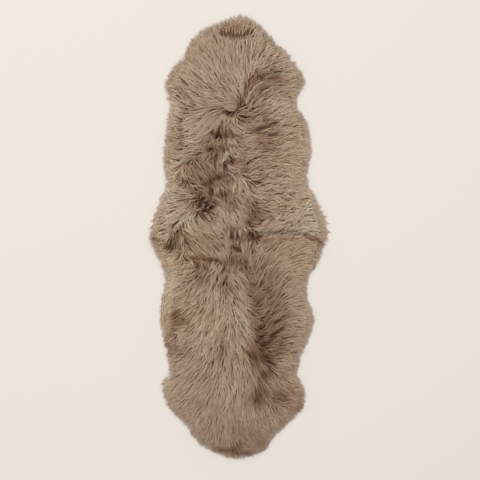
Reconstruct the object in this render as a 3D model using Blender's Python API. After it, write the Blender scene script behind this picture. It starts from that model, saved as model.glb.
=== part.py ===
"""Sheepskin throw: two wool-on pelts sewn end to end, lying flat with the wool up.

Each pelt is one closed body: its flat flesh side on z = 0, a lumpy top of combed wool,
and tapered locks round its rim that lie on the floor. Sizes are in millimetres until the
meshes are made in metres. +Y runs along the throw, +Z is up out of the wool.
"""

import math

import bpy
import numpy as np
from mathutils import Vector, noise
from mathutils.geometry import delaunay_2d_cdt

# Driving dimensions
MM = 0.001
SEAM_GAP = 0.3  # between the two pelts, all along the seam
CROWN_HEIGHT = 42.0  # wool over the middle of a pelt, before its lumps
RIM_HEIGHT = 20.0  # wool where it turns down at the rim
SHOULDER = 70.0  # how far in from the rim the wool reaches its full height
SHOULDER_ROUNDING = 2.4  # 1 is a straight slope, more is rounder
FLAT_UNDER = 0.0  # the flesh side and the locks lie on this level

# Locks round the rim
LOCK_LENGTH = 25.0
LOCK_PITCH = 15.6  # on average
LOCK_GAP = 3.8  # of bare rim between two roots
PITCH_SPREAD = 0.24  # how much wider or narrower than average a lock may be, as a share
LOCK_WAIST = 0.55  # share of the length where a lock is narrowed
LOCK_WAIST_WIDTH = 0.66  # share of the root's width left there
LOCK_WAIST_HEIGHT = 0.60  # share of the root's height left there
LOCK_SPREAD = (0.80, 1.16)  # shortest and longest lock, as shares of LOCK_LENGTH
LOCK_LEAN = 16.0  # degrees that a lock leans along the rim at most
SWAY_SIZE = 70.0  # how far along the rim neighbouring locks lean alike
STRETCH_SIZE = 11.0  # and how far they are of like length
WIDTH_SIZE = 23.0  # and of like width
SEAM_CLEARANCE = 6.0  # from the seam to the first lock's root

# The wool's lumps
RIM_STEP = 6.0  # between the points that the rim is drawn in by
TOP_STEP = 18.5  # between the points of the lumpy top
UNDER_STEP = 95.0  # between those of the flat flesh side
SEAM_STOPS = 24  # bends on each side of the middle at most
PARTING_STEP = 15.0  # and along a parting
LUMP_SIZE = 52.0
LUMP_HEIGHT = 7.0
RIM_LUMP = 2.5  # lump height left at the rim
LOWEST_WOOL = 9.0
CLUMP_PITCH = 46.0  # between the small locks strewn over the top
CLUMP_JITTER = 16.0
CLUMP_LENGTH = 74.0
CLUMP_WIDTH = 24.0
CLUMP_HEIGHT = (3.0, 8.0)
CURVE_PIECES = 12  # straight runs between two given points of a curve
SEED = 7

WOOL_COLOUR = (0.33, 0.26, 0.19, 1.0)
WOOL_ROUGHNESS = 0.95
PELTS = {"pelt_upper": 1, "pelt_lower": -1}  # which side of the seam each lies on

# Rim over the tips of the locks, from the head end to the tail end
OUTLINE = [
    # y, left, right
    (892, -12, 26),
    (876, -54, 56),
    (860, -104, 84),
    (828, -160, 112),
    (780, -204, 152),
    (748, -217, 194),
    (716, -232, 210),
    (684, -266, 243),
    (652, -284, 259),
    (620, -301, 269),
    (588, -297, 252),
    (556, -288, 234),
    (524, -281, 237),
    (492, -287, 255),
    (460, -292, 275),
    (396, -301, 288),
    (332, -305, 292),
    (284, -304, 281),
    (236, -297, 277),
    (188, -299, 292),
    (156, -318, 312),
    (116, -336, 335),
    (76, -347, 350),
    (28, -354, 356),
    (-12, -362, 357),
    (-52, -345, 341),
    (-84, -331, 330),
    (-116, -314, 311),
    (-148, -304, 289),
    (-180, -302, 278),
    (-212, -304, 273),
    (-244, -308, 280),
    (-292, -315, 296),
    (-340, -313, 303),
    (-388, -307, 291),
    (-420, -301, 277),
    (-452, -296, 264),
    (-484, -291, 249),
    (-516, -284, 242),
    (-548, -282, 233),
    (-568, -296, 242),
    (-596, -307, 260),
    (-628, -307, 268),
    (-660, -297, 267),
    (-692, -279, 256),
    (-724, -252, 228),
    (-756, -217, 192),
    (-788, -196, 157),
    (-820, -174, 132),
    (-852, -134, 111),
    (-876, -80, 74),
    (-892, -28, 16),
]

# The sewn joint, from the left rim to the right rim
SEAM = [
    # x, y
    (-370, -12),
    (-160, -5),
    (20, -2),
    (76, -1),
    (150, 10),
    (240, 10),
    (290, -4),
    (330, -14),
    (370, -18),
]

# Dark lines where the wool falls apart, each as wide and as deep as given
PARTINGS = [
    # width, depth, the points (x, y) along it
    (15, 10, [(-78, 812), (-36, 800), (4, 803), (46, 812)]),
    (15, 13, [(32, 668), (36, 588), (16, 556), (-4, 532), (-36, 500), (-70, 504)]),
    (13, 8, [(-244, 596), (-204, 562), (-180, 526)]),
    (16, 12, [(-212, 516), (-236, 460), (-232, 404), (-230, 366)]),
    (16, 11, [(-126, 436), (-96, 408), (-66, 406)]),
    (13, 8, [(68, 668), (92, 632)]),
    (13, 8, [(116, 676), (164, 636)]),
    (14, 8, [(76, 492), (112, 460), (146, 452)]),
    (14, 9, [(68, 424), (104, 404), (146, 412)]),
    (15, 18, [(92, -4), (118, 14), (190, 16), (266, 12), (308, -10), (346, -24)]),
    (17, 15, [(-34, -6), (-10, 4), (44, 10), (92, -4)]),
    (14, 10, [(-178, -80), (-136, -94), (-96, -92)]),
    (14, 9, [(-50, -162), (-72, -202)]),
    (17, 17, [(44, -192), (66, -272), (90, -360), (94, -432), (92, -500), (94, -564)]),
    (15, 10, [(140, -390), (112, -428), (94, -432)]),
    (16, 13, [(-254, -252), (-262, -340), (-252, -450)]),
    (13, 7, [(-220, -330), (-200, -354), (-214, -378)]),
    (15, 8, [(-118, -850), (-66, -858), (-14, -850)]),
]

# Round hollows in tangled wool
HOLLOWS = [
    # x, y, radius, depth
    (-148, 148, 26, 19),
    (-112, 124, 20, 15),
    (-104, 224, 22, 12),
    (-106, 350, 18, 9),
    (64, 98, 24, 12),
    (94, 62, 18, 9),
    (130, 66, 16, 8),
    (76, 220, 18, 8),
    (184, 244, 18, 8),
    (256, 372, 16, 7),
    (-256, 0, 32, 13),
    (78, -632, 34, 11),
    (172, -636, 28, 11),
    (-146, -300, 18, 7),
    (-100, -364, 18, 7),
    (-68, -432, 18, 7),
    (-8, -472, 18, 7),
]

# Long locks that stand above the rest
TUFTS = [
    # x, y, heading in degrees, length, width, height
    (-160, 436, -138, 210, 52, 6),
    (-52, 466, -95, 70, 54, 5),
    (-60, 316, -110, 60, 24, 6),
    (-20, 148, -92, 180, 42, 6),
    (-176, 20, -42, 210, 60, 7),
    (-50, 690, -86, 190, 80, 5),
    (150, 760, 50, 150, 54, 5),
    (-230, 650, 142, 120, 50, 5),
    (190, 560, 14, 150, 50, 4),
    (196, 424, 10, 180, 60, 5),
    (200, 300, 6, 160, 54, 4),
    (250, 110, 4, 160, 60, 5),
    (-290, 110, 186, 130, 60, 5),
    (-112, -132, -128, 84, 28, 8),
    (44, -104, -88, 150, 44, 5),
    (170, -140, -142, 150, 54, 5),
    (-150, -240, -132, 150, 50, 5),
    (-88, -300, -94, 190, 46, 5),
    (-2, -296, -57, 190, 50, 6),
    (156, -290, -133, 150, 54, 6),
    (250, -300, -8, 120, 60, 4),
    (-50, -620, -91, 250, 60, 5),
    (-200, -640, -132, 190, 60, 5),
    (140, -750, -55, 160, 56, 5),
    (20, -760, -80, 150, 44, 4),
]


def catmull_rom(points, closed=False, pieces=CURVE_PIECES):
    """A smooth run of points through the given ones."""
    points = [np.array(p, float) for p in points]
    if closed:
        padded = [points[-1], *points, points[0], points[1]]
    else:
        padded = [2 * points[0] - points[1], *points, 2 * points[-1] - points[-2]]
    run = []
    for before, start, end, after in zip(padded, padded[1:], padded[2:], padded[3:]):
        for k in range(pieces):
            t = k / pieces
            run.append(
                0.5
                * (
                    2 * start
                    + (end - before) * t
                    + (2 * before - 5 * start + 4 * end - after) * t**2
                    + (3 * start - before - 3 * end + after) * t**3
                )
            )
    run.append(points[0] if closed else points[-1])
    return np.array(run)


class Route:
    """A run of points that can be read at any length along it."""

    def __init__(self, points):
        self.points = np.array(points, float)
        steps = np.linalg.norm(np.diff(self.points, axis=0), axis=1)
        self.along = np.concatenate([[0.0], np.cumsum(steps)])
        self.length = self.along[-1]

    def at(self, distance):
        return np.array([np.interp(distance, self.along, self.points[:, k]) for k in (0, 1)])

    def direction(self, distance, reach=9.0):
        step = self.at(distance + reach) - self.at(distance - reach)
        return step / np.linalg.norm(step)


def turned_right(direction):
    """Outward, where the route goes round its pelt with the pelt on its left."""
    return np.array([direction[1], -direction[0]])


def seam_height(x):
    """The seam's y at a given x."""
    run = catmull_rom(SEAM)
    return float(np.interp(x, run[:, 0], run[:, 1]))


def backing_of(whole_rim, side):
    """The route of one pelt's lock roots, from seam to seam with the pelt on its left.

    It is the rim drawn in by a lock's length. side is 1 for the upper pelt, -1 for the lower.
    """
    tips = Route(whole_rim)
    drawn_in = []
    for distance in np.linspace(0, tips.length, int(tips.length // RIM_STEP)):
        outward = turned_right(tips.direction(distance))
        drawn_in.append(tips.at(distance) - LOCK_LENGTH * outward)
    own = [side * (p[1] - seam_height(p[0])) > RIM_STEP / 2 for p in drawn_in]
    first = next(k for k in range(len(own)) if own[k] and not own[k - 1])
    turned = drawn_in[first:] + drawn_in[:first]
    kept = turned[: sum(own)]
    ends = [(p[0], seam_height(p[0]) + side * SEAM_GAP / 2) for p in (kept[0], kept[-1])]
    return Route([ends[0], *kept, ends[1]])


def lock_roots(route, side):
    """(start, end) of each lock's root along the route."""
    room = route.length - 2 * SEAM_CLEARANCE
    count = int(room // LOCK_PITCH)
    wide = [noise.noise(Vector((k * LOCK_PITCH / WIDTH_SIZE, side, SEED))) for k in range(count)]
    spans = 1 + PITCH_SPREAD * np.clip(2 * np.array(wide), -1, 1)
    spans *= room / spans.sum()
    ends = SEAM_CLEARANCE + np.cumsum(spans)
    return [
        (end - span + LOCK_GAP / 2, end - LOCK_GAP / 2) for end, span in zip(ends, spans)
    ]


def distance_to(points, run):
    """How far each point is from a run of points joined by straight lines."""
    start, end = run[:-1], run[1:]
    along = end - start
    offset = points[:, None, :] - start[None, :, :]
    share = (offset * along).sum(2) / np.maximum((along**2).sum(1), 1e-9)
    share = np.clip(share, 0, 1)
    return np.linalg.norm(offset - share[..., None] * along, axis=2).min(1)


def combed(x, y):
    """The heading, in degrees, that the long locks nearby give the wool at a place."""
    pull = np.zeros(2)
    for row in TUFTS:
        weight = 1 / ((x - row[0]) ** 2 + (y - row[1]) ** 2 + CLUMP_PITCH**2) ** 2
        pull += weight * np.array([math.cos(math.radians(row[2])), math.sin(math.radians(row[2]))])
    return math.degrees(math.atan2(pull[1], pull[0]))


def clumps(low, high):
    """Small locks strewn over the whole top, each a row like those of TUFTS."""
    chance = np.random.default_rng(SEED)
    found = []
    for x in np.arange(low[0], high[0], CLUMP_PITCH):
        for y in np.arange(low[1], high[1], CLUMP_PITCH):
            px, py = (x, y) + chance.uniform(-CLUMP_JITTER, CLUMP_JITTER, 2)
            height = chance.uniform(*CLUMP_HEIGHT)
            found.append((px, py, combed(px, py), CLUMP_LENGTH, CLUMP_WIDTH, height))
    return found


def wool_heights(points, edge_distance, locks):
    """Height of the wool's top at each point."""
    rise = np.clip(edge_distance / SHOULDER, 0, 1)
    rounded = 1 - (1 - rise) ** SHOULDER_ROUNDING
    heights = RIM_HEIGHT + (CROWN_HEIGHT - RIM_HEIGHT) * rounded
    lumps = np.array(
        [noise.noise(Vector((x / LUMP_SIZE, y / LUMP_SIZE, SEED))) for x, y in points]
    )
    heights += lumps * (RIM_LUMP + LUMP_HEIGHT * rise)
    for x, y, heading, length, width, height in locks:
        way = np.array([math.cos(math.radians(heading)), math.sin(math.radians(heading))])
        offset = points - (x, y)
        along = offset @ way / (length / 2)
        across = offset @ turned_right(way) / (width / 2)
        heights += height * rise * np.exp(-(along**2) - across**2)
    for width, depth, run in PARTINGS:
        near = distance_to(points, np.array(run, float)) / width
        heights -= depth * np.sqrt(rise) * np.exp(-(near**2))
    for x, y, radius, depth in HOLLOWS:
        near = np.linalg.norm(points - (x, y), axis=1) / radius
        heights -= depth * np.sqrt(rise) * np.exp(-(near**2))
    return np.maximum(heights, LOWEST_WOOL)


def inside(points, loop):
    """Which points lie inside a closed loop."""
    x, y = points[:, 0:1], points[:, 1:2]
    a, b = loop, np.roll(loop, -1, axis=0)
    spans = (a[:, 1] > y) != (b[:, 1] > y)
    rise = np.where(np.abs(b[:, 1] - a[:, 1]) < 1e-9, 1e-9, b[:, 1] - a[:, 1])
    crossing = a[:, 0] + (y - a[:, 1]) * (b[:, 0] - a[:, 0]) / rise
    return ((spans & (x < crossing)).sum(1) % 2) == 1


def spread_points(loop, step, lines=()):
    """Points inside a loop in staggered rows, with the given lines kept as they are."""
    kept = np.vstack([loop, *lines]) if len(lines) else loop
    low, high = loop.min(0), loop.max(0)
    found = []
    rows = int((high[1] - low[1]) / (step * math.sqrt(0.75))) + 1
    for row in range(rows):
        y = low[1] + row * step * math.sqrt(0.75)
        start = low[0] + (row % 2) * step / 2
        found += [(x, y) for x in np.arange(start, high[0], step)]
    found = np.array(found)
    found = found[inside(found, loop)]
    clear = np.array([np.linalg.norm(kept - p, axis=1).min() for p in found])
    return found[clear > 0.62 * step]


def triangles_between(loop, inner):
    """Triangles that fill a closed loop and use the inner points too."""
    points = [Vector(p) for p in np.vstack([loop, inner])]
    count = len(loop)
    sides = [(k, (k + 1) % count) for k in range(count)]
    made, _, faces, origin, _, _ = delaunay_2d_cdt(points, sides, [], 1, 1e-5)
    order = [found[0] for found in origin]
    if len(made) != len(points) or sorted(order) != list(range(len(points))):
        raise ValueError("the wool's points run into each other")
    plan = [Vector((*p, 0)) for p in made]
    turned = []
    for a, b, c in faces:
        upward = (plan[b] - plan[a]).cross(plan[c] - plan[a]).z > 0
        turned.append([order[a], order[b], order[c]] if upward else [order[a], order[c], order[b]])
    return turned


def parting_points(loop):
    """Points along the partings that lie well inside a loop."""
    found = []
    for _, _, run in PARTINGS:
        route = Route(run)
        count = max(2, round(route.length / PARTING_STEP) + 1)
        found += [route.at(d) for d in np.linspace(0, route.length, count)]
    found = np.array(found)
    found = found[inside(found, loop)]
    clear = np.array([np.linalg.norm(loop - p, axis=1).min() for p in found])
    kept = []
    for p in found[clear > PARTING_STEP / 2]:
        if all(np.linalg.norm(p - q) > PARTING_STEP / 2 for q in kept):
            kept.append(p)
    return np.array(kept)


def add_lock(points, faces, root, heading, length, heights):
    """One four-sided lock grown from its root: two points on the floor and two above them."""
    low_a, low_b, high_a, high_b = root
    middle = (points[low_a][:2] + points[low_b][:2]) / 2
    across = points[low_b][:2] - points[low_a][:2]
    waist = middle + LOCK_WAIST * length * heading
    half = across * LOCK_WAIST_WIDTH / 2
    top = LOCK_WAIST_HEIGHT * (heights[0] + heights[1]) / 2
    first = len(points)
    points.append(np.array([*(waist - half), FLAT_UNDER]))
    points.append(np.array([*(waist + half), FLAT_UNDER]))
    points.append(np.array([*(waist - half), top]))
    points.append(np.array([*(waist + half), top]))
    points.append(np.array([*(middle + length * heading), FLAT_UNDER]))
    waist_low_a, waist_low_b, waist_high_a, waist_high_b, tip = range(first, first + 5)
    faces += [
        (low_a, low_b, waist_low_b, waist_low_a),
        (high_b, high_a, waist_high_a, waist_high_b),
        (low_a, waist_low_a, waist_high_a, high_a),
        (low_b, high_b, waist_high_b, waist_low_b),
        (waist_low_a, waist_low_b, tip),
        (waist_high_b, waist_high_a, tip),
        (waist_high_a, waist_low_a, tip),
        (waist_low_b, waist_high_b, tip),
    ]


def seam_points(start, end, side):
    """Points along a pelt's sewn edge. Both pelts bend at the same x, so their gap is even."""
    xs = np.arange(-SEAM_STOPS, SEAM_STOPS + 1) * TOP_STEP
    xs = xs[(xs > min(start, end) + TOP_STEP / 3) & (xs < max(start, end) - TOP_STEP / 3)]
    if start > end:
        xs = xs[::-1]
    return [(x, seam_height(x) + side * SEAM_GAP / 2) for x in xs]


def lock_form(middle, outward, side):
    """Heading and length of the lock at a place along the rim."""
    sway = noise.noise(Vector((middle / SWAY_SIZE, SEED, side)))
    stretch = noise.noise(Vector((middle / STRETCH_SIZE, side, SEED)))
    turn = math.radians(LOCK_LEAN) * max(-1, min(1, 1.6 * sway))
    heading = np.array(
        [
            outward[0] * math.cos(turn) - outward[1] * math.sin(turn),
            outward[0] * math.sin(turn) + outward[1] * math.cos(turn),
        ]
    )
    shortest, longest = LOCK_SPREAD
    share = min(1, max(0, 0.5 + 0.9 * stretch))
    return heading, LOCK_LENGTH * (shortest + (longest - shortest) * share)


def pelt_mesh(side, whole_rim, locks):
    """Points and faces of one pelt, in millimetres. side is 1 for the upper one, -1 for the lower."""
    route = backing_of(whole_rim, side)
    roots = lock_roots(route, side)
    rim_stops = [0.0, *[stop for root in roots for stop in root], route.length]
    rim_points = [route.at(stop) for stop in rim_stops]
    loop = np.array([*rim_points, *seam_points(rim_points[-1][0], rim_points[0][0], side)])

    partings = parting_points(loop)
    top_inner = np.vstack([partings, spread_points(loop, TOP_STEP, [partings])])
    under_inner = spread_points(loop, UNDER_STEP)
    plan = np.vstack([loop, top_inner])
    heights = wool_heights(plan, distance_to(plan, whole_rim) - LOCK_LENGTH, locks)

    count = len(loop)
    points = [np.array([x, y, z]) for (x, y), z in zip(plan, heights)]
    low = len(points)
    points += [np.array([x, y, FLAT_UNDER]) for x, y in np.vstack([loop, under_inner])]
    faces = list(triangles_between(loop, top_inner))
    faces += [
        [low + k for k in reversed(face)] for face in triangles_between(loop, under_inner)
    ]

    rooted = {2 * k + 1: k for k in range(len(roots))}
    for k in range(count):
        after = (k + 1) % count
        if k not in rooted:
            faces.append((low + k, low + after, after, k))
            continue
        start, end = roots[rooted[k]]
        middle = (start + end) / 2
        outward = turned_right(route.direction(middle))
        heading, length = lock_form(middle, outward, side)
        root = (low + k, low + after, k, after)
        add_lock(points, faces, root, heading, length, (heights[k], heights[after]))
    return np.array(points), faces


def wool_material():
    material = bpy.data.materials.new("wool")
    material.use_nodes = True
    shader = material.node_tree.nodes["Principled BSDF"]
    shader.inputs["Base Color"].default_value = WOOL_COLOUR
    shader.inputs["Roughness"].default_value = WOOL_ROUGHNESS
    shader.inputs["Metallic"].default_value = 0.0
    return material


def main():
    for obj in list(bpy.data.objects):
        bpy.data.objects.remove(obj, do_unlink=True)
    outline = [(row[1], row[0]) for row in OUTLINE]
    outline += [(row[2], row[0]) for row in reversed(OUTLINE)]
    whole_rim = catmull_rom(outline, closed=True)
    locks = TUFTS + clumps(whole_rim.min(0), whole_rim.max(0))
    pelts = {name: pelt_mesh(side, whole_rim, locks) for name, side in PELTS.items()}
    reach = np.vstack([points for points, _ in pelts.values()])
    middle = (reach.min(0) + reach.max(0)) / 2
    middle[2] = 0.0
    wool = wool_material()
    for name, (points, faces) in pelts.items():
        mesh = bpy.data.meshes.new(name)
        mesh.from_pydata(((points - middle) * MM).tolist(), [], faces)
        mesh.materials.append(wool)
        mesh.shade_smooth()
        mesh.set_sharp_from_angle(angle=math.radians(50))
        bpy.context.scene.collection.objects.link(bpy.data.objects.new(name, mesh))


main()
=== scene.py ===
"""Sheepskin throw in its finish: two pelts, each a suede-sided hide under combed wool.

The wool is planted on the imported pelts. A comb field, worked out from a table of brush
strokes, says which way it lies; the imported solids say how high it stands; and Geometry
Nodes grow the strands. Tables are in millimetres, with +Y up the throw and +X across it.
"""

import math

import bpy
import numpy as np
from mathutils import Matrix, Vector
from mathutils.bvhtree import BVHTree
from mathutils.geometry import delaunay_2d_cdt


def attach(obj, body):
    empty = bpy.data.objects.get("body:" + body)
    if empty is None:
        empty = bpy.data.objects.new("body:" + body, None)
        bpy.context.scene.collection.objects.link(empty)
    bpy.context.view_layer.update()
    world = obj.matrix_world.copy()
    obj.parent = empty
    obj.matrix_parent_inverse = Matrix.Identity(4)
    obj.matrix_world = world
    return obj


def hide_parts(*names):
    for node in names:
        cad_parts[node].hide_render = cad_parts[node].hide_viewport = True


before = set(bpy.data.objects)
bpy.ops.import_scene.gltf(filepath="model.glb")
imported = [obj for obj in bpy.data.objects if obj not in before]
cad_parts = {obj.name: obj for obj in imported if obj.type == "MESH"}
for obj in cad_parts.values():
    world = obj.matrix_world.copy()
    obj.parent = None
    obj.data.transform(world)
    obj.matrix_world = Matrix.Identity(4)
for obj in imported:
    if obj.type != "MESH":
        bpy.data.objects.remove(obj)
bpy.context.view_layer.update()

MM = 0.001
PELTS = {"upper": 1, "lower": -1}  # which side of the seam each pelt lies on
RIM_SHIFT = (1.0, -0.2)  # from the tables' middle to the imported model's, in mm

# Hide and underwool
HIDE_INSET = 30.0  # from the wool's rim to the hide's edge
HIDE_THICK = 2.5
HIDE_SEAM_GAP = 0.4
UNDERWOOL_INSET = 24.0
UNDERWOOL_SHARE = 0.50  # of the wool's height
CALM_SHARE = 0.25  # more of it where the wool lies smooth
UNDERWOOL_STEP = 14.0
UNDERWOOL_EDGE = 5.0  # height where it ends over the hide
UNDERWOOL_LIFT = 0.2  # its underside above the hide
# Underwool paleness: paler where the wool lies calm, and darker under the painted shade of the patches
# and partings
UNDERWOOL_PALENESS = 0.4  # how far calm and shade change its colour

# Field that the wool grows from
FIELD_STEP = 5.5
GRID_STEP = 8.0  # of the grid that the comb is worked out on
FIELD_CLEAR = 0.55  # least distance from its rim to its inner points, in steps
RIM_STEP = 6.0  # between the rim's points
RIM_ROLL = 30.0  # width of the band where the wool turns down to the floor
RIM_LOW, RIM_HIGH = 4.0, 17.0  # wool height at the tips and at the inside of that band
STROKE_REACH = 22.0  # how near a brush stroke rules alone
SWEEP_AHEAD = 30.0  # where the comb is read again, to bend a strand
# The rim's paler tips are partly the wool's own straw colour and partly painted light against the shade
# that falls at the rim
PALE_RIM = 22.0  # width of the paler band of rim wool
CALM_RIM = 44.0  # width of the band where the wool lies smoother
RIM_CALM = 0.05
# how dark the partings' painted shade is on the wool
PARTING_SHADE = 0.8
ROOM_STEP = 5.0  # of the walk that finds how far a strand can go
ROOM_STEPS = 20
TUFT_REACH = 16.0  # how near a tuft's tip gathers the strands to it

# Planting and combing of the strands
CLUMP_DENSITY, BAND_DENSITY, ROOT_DENSITY = 9000.0, 2000.0, 60000.0  # at most, a square metre
CLUMP_SEED, BAND_SEED = 17, 53
TANGLE_SCATTER, TANGLE_TURN = 75.0, 90.0  # degrees that a tangle adds to strands and clumps
TANGLE_SHORTER = 0.45  # share of its length that a tangled strand loses
SHORTEST = 0.006

# Wool's lightness, from 0 at the darkest root to 1 at the palest tip, and its hue. These and
# the wool's colours were tuned to mean colours measured on the photo.
BASE_LIGHT = 0.652
# SHADE_LIGHT: how much a strand's shade pales it; for grown strands half of that shade is painted light
# and shade by how high the strand lies
TIP_LIGHT, SHADE_LIGHT, STREAK_LIGHT, DRIFT_LIGHT = 0.31, 0.27, 0.13, 0.03
# How far the painted shade of the patches and partings darkens the wool
SHADOW_DEPTH = 0.36
CALM_CONTRAST = 0.8  # how much of the contrast goes where the wool lies calm
# The rim's paler tips: partly straw colour, partly painted light
STRAW_AND_RIM_LIGHT, STRAW_AND_RIM_LIGHT_BLUE = 0.24, 0.11  # how much paler the rim's tips are, and how much in blue
WARM_RED, WARM_BLUE = 0.02, 0.075
WOOL_COLOURS = [
    (0.0, (47, 25, 11)),
    (0.25, (114, 77, 50)),
    (0.5, (180, 140, 111)),
    (0.78, (232, 196, 166)),
    (1.0, (252, 226, 194)),
]
UNDERWOOL_COLOURS = [(0.25, (70, 49, 33)), (0.55, (114, 85, 62)), (0.8, (155, 125, 97))]
SUEDE_COLOURS = [(0.3, (150, 122, 92)), (0.5, (182, 154, 120)), (0.7, (204, 180, 147))]

# Studio
CAMERA_HEIGHT = 6.0
SENSOR_WIDTH = 36.0
VIEW_WIDTH = 1.92  # of the picture, at the wool's level
VIEW_LEVEL = 0.03
VIEW_MIDDLE = (0.005, -0.0122)
FLOOR_SIZE = 60.0
FLOOR_LEVEL = -0.0005  # just under the hides
FLOOR_SHOWN = (236, 228, 219)
SKY_STRENGTH = 0.585
LAMP_SIZE = 6.2
LAMP_POWER = 343.0
LAMP_PLACE = (-1.2, 2.3, 7.5)

# Rim over the wool's tips, from the head end to the tail end. It was measured by a scan of the
# photo's silhouette and then corrected.
OUTLINE = [
    # y, left, right
    (892, -12, 26), (876, -54, 56), (860, -104, 84), (828, -160, 112), (780, -204, 152),
    (748, -217, 194), (716, -232, 210), (684, -266, 243), (652, -284, 259), (620, -301, 269),
    (588, -297, 252), (556, -288, 234), (524, -281, 237), (492, -287, 255), (460, -292, 275),
    (396, -301, 288), (332, -305, 292), (284, -304, 281), (236, -297, 277), (188, -299, 292),
    (156, -318, 312), (116, -330, 328), (76, -342, 345), (28, -350, 353), (-12, -365, 356),
    (-52, -343, 338), (-84, -331, 330), (-116, -314, 311), (-148, -304, 289), (-180, -302, 278),
    (-212, -304, 273), (-244, -308, 280), (-292, -315, 296), (-340, -313, 303), (-388, -307, 291),
    (-420, -301, 277), (-452, -296, 264), (-484, -291, 249), (-516, -284, 242), (-548, -282, 233),
    (-568, -296, 242), (-596, -307, 260), (-628, -307, 268), (-660, -297, 267), (-692, -279, 256),
    (-724, -252, 228), (-756, -217, 192), (-788, -196, 157), (-820, -174, 132), (-852, -134, 111),
    (-876, -80, 74), (-892, -28, 16),
]

# The sewn joint, from the left rim to the right rim
SEAM = [
    # x, y
    (-370, -12), (-160, -5), (20, -2), (76, -1), (150, 10), (240, 10), (290, -4), (330, -14),
    (370, -18),
]
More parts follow.
